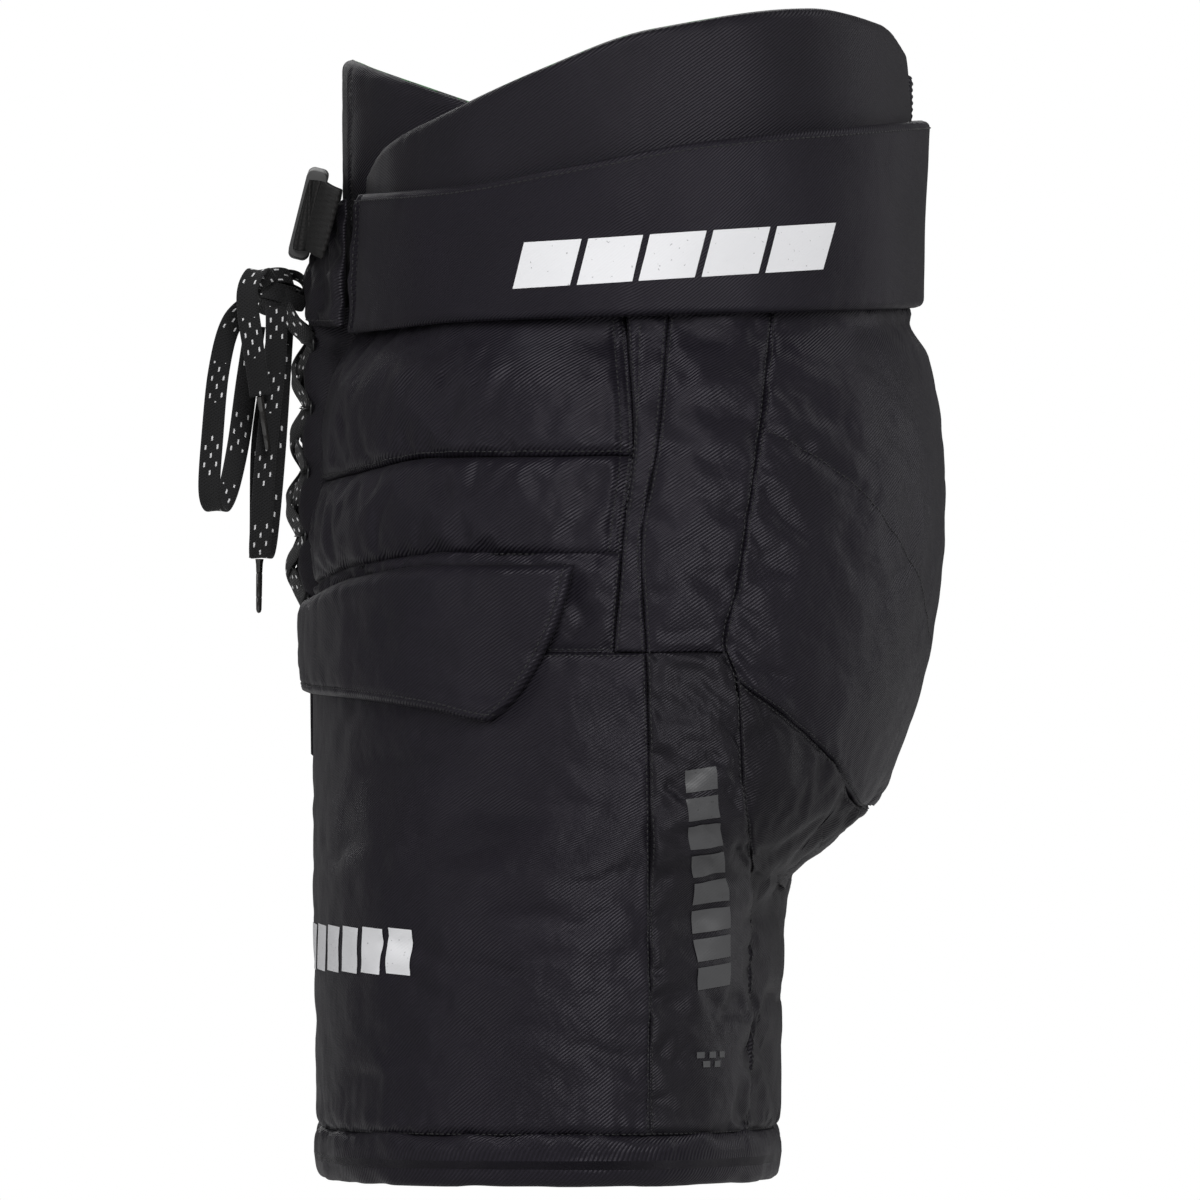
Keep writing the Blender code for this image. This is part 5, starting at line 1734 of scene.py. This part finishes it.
def make_aglet(name, points):
    """A clear sleeve crimped on the lace's end: a slim tube with a rounded tip and two crimps."""
    tip, before = Vector(points[-1]), Vector(points[-2])
    along = (tip - before).normalized()
    turned = along.to_track_quat("Z", "Y").to_matrix()
    # Along the sleeve, and its radius there.
    profile = (
        (0.0, 0.0017), (0.0008, 0.0016), (0.0022, 0.0014), (0.0052, 0.00128), (0.0058, 0.00116),
        (0.0064, 0.00128), (0.0150, 0.00122), (0.0156, 0.00110), (0.0162, 0.00120),
        (0.0205, 0.00112), (0.0216, 0.0008), (0.0220, 0.0),
    )
    around = 16
    turn = np.linspace(0, 2 * math.pi, around, endpoint=False)
    rings = [np.stack([r * np.cos(turn), r * np.sin(turn), np.full(around, s)], axis=-1) for s, r in profile]
    points_out = np.concatenate(rings) @ np.array(turned).T + np.array(tip + along * 0.0004)
    mesh = mesh_of(name, points_out, tube_faces(len(profile), around))
    made = piece(name + "_sleeve", mesh, [AGLET])
    fix(made, "waist", 1, "aglet", [name])
    return made


def make_knot():
    """The bow's knot: laces wrapped over each other round a small core."""
    centre = np.array(KNOT_CENTRE)
    wraps = []
    settings = (
        ((0.0, 0.25, 1.0), 0.0066, (0.0, 0.0, 0.0010), 1.0),
        ((0.35, 0.1, 1.0), 0.0058, (0.0, 0.0, -0.0040), 0.9),
        ((-0.45, -0.2, 0.8), 0.0060, (0.0, -0.0006, 0.0048), 0.85),
        ((1.0, 0.3, 0.2), 0.0056, (0.0, -0.0020, 0.0010), 0.8),
        ((0.2, 0.5, 1.0), 0.0062, (0.0, 0.0062, -0.0010), 0.9),
        ((0.9, 0.1, 0.5), 0.0058, (0.0, 0.0050, 0.0030), 0.9),
    )
    for number, (axis, radius, shift, flat) in enumerate(settings):
        axis = Vector(axis).normalized()
        turned = np.array(axis.to_track_quat("Z", "Y").to_matrix())
        turn = np.linspace(0, 2 * math.pi, 49)
        circle = np.stack([radius * 1.1 * np.cos(turn), radius * flat * np.sin(turn), 0 * turn], axis=-1)
        route = circle @ turned.T + centre + np.array(shift)
        wrap = ribbon_piece(f"wrap_{number}", route, np.array(axis), 0.0072, 0.0017, LACE, 0.0006)
        wraps.append(wrap)
    bm = bmesh.new()
    for wrap in wraps:
        bm.from_mesh(wrap.data)
        bpy.data.objects.remove(wrap, do_unlink=True)
    knot = object_of("lace_knot_braid", bm, LACE)
    knot.data.shade_smooth()
    fix(knot, "waist", 1, "lace", ["lace_knot"])


def make_laces():
    make_knot()
    aglet_a = make_aglet("aglet_a", TAIL_LONG)
    aglet_b = make_aglet("aglet_b", TAIL_SHORT)
    make_lace("lace_loop_a", LOOP_A)
    make_lace("lace_loop_b", LOOP_B)
    make_lace("lace_tail_a", TAIL_LONG)
    make_lace("lace_tail_b", TAIL_SHORT)
    for start, name, over in ((1, "fly_lacing_a", 0.0), (-1, "fly_lacing_b", 0.0022)):
        stations = [(0.0040 * start, -0.1335, 0.3520), (0.0110 * start, -0.1290, 0.3440)]
        for row, z in enumerate(LACING_ROWS):
            side = start * (-1) ** row
            stations.append((0.0172 * side, float(strip_y(z)) - 0.0016, z))
            if row < len(LACING_ROWS) - 1:
                middle = (z + LACING_ROWS[row + 1]) / 2
                stations.append((0.0, float(strip_y(middle)) - 0.0056 - over, middle))
        make_lace(name, stations, across=(0.0, 0.0, 1.0), width=0.0072, bow=0.0005)


# ---------------------------------------------------------------- stage

WORLD_LIGHT = 0.13
# The floor lies below the hem of a leg that swings forward, and the camera doesn't see it.
FLOOR_Z = -0.0800
LIGHTS = (
    ("key_box", (2.3, 0.2, 1.8), (0.0, 0.0, 0.25), (1.3, 1.3), 52.0),
    ("front_box", (1.0, -2.2, 1.1), (0.0, 0.0, 0.25), (1.2, 1.6), 13.0),
    ("rear_box", (-0.6, 2.3, 1.4), (0.0, 0.0, 0.25), (1.2, 1.4), 15.0),
    ("far_box", (-2.2, -0.4, 1.3), (0.0, 0.0, 0.25), (1.6, 1.6), 14.0),
)


def make_stage():
    """A pale floor that only bounces light, a white surround and four softboxes."""
    bm = bmesh.new()
    bmesh.ops.create_grid(bm, x_segments=1, y_segments=1, size=30.0)
    finish = Finish("pale_floor", Roughness=0.9, Specular_IOR_Level=0.1)
    grain = finish.noise(finish.place(), 0.02, 2.0)
    finish.colour(finish.mix(grain, (0.72, 0.72, 0.72), (0.74, 0.74, 0.74)))
    floor = object_of("floor", bm, finish.material)
    floor.location.z = FLOOR_Z
    floor.visible_camera = False

    world = bpy.context.scene.world or bpy.data.worlds.new("studio")
    bpy.context.scene.world = world
    world.use_nodes = True
    nodes, links = world.node_tree.nodes, world.node_tree.links
    background = nodes["Background"]
    background.inputs["Color"].default_value = (1.0, 1.0, 1.0, 1.0)
    path = nodes.new("ShaderNodeLightPath")
    strength = nodes.new("ShaderNodeMapRange")
    strength.inputs["To Min"].default_value = WORLD_LIGHT
    strength.inputs["To Max"].default_value = 1.0
    links.new(path.outputs["Is Camera Ray"], strength.inputs["Value"])
    links.new(strength.outputs["Result"], background.inputs["Strength"])

    for name, place, aim, size, power in LIGHTS:
        data = bpy.data.lights.new(name, "AREA")
        data.shape = "RECTANGLE"
        data.size, data.size_y = size
        data.energy = power
        lamp = bpy.data.objects.new(name, data)
        lamp.location = place
        lamp.rotation_euler = (Vector(aim) - Vector(place)).to_track_quat("-Z", "Y").to_euler()
        lamp.visible_camera = False
        bpy.context.scene.collection.objects.link(lamp)
    bpy.context.scene.view_settings.view_transform = "Standard"


def make_camera():
    data = bpy.data.cameras.new("camera")
    camera = bpy.data.objects.new("camera", data)
    bpy.context.scene.collection.objects.link(camera)
    back = CAMERA_PLACE - VIEW_CENTRE
    camera.location = CAMERA_PLACE
    camera.rotation_euler = (-back).to_track_quat("-Z", "Y").to_euler()
    data.sensor_width = SENSOR * 1000
    data.lens = SENSOR * 1000 * back.length / VIEW_SPAN
    data.clip_start, data.clip_end = 0.5, 60.0
    bpy.context.scene.camera = camera


def main():
    make_camera()
    make_laces()
    make_buckle()
    make_webbing()
    make_kidney_pads()
    make_belt()
    make_front_bands()
    make_yoke()
    make_side_placket()
    make_hip_panel()
    make_seat_panel()
    make_spine_pad()
    make_fly()
    make_belly_pad()
    make_thigh_panel()
    make_side_strip()
    make_rear_panel()
    make_inner_panel()
    make_hem()
    make_leg_liner()
    make_waist_liner()
    make_gusset()
    make_flap()
    make_stage()


main()
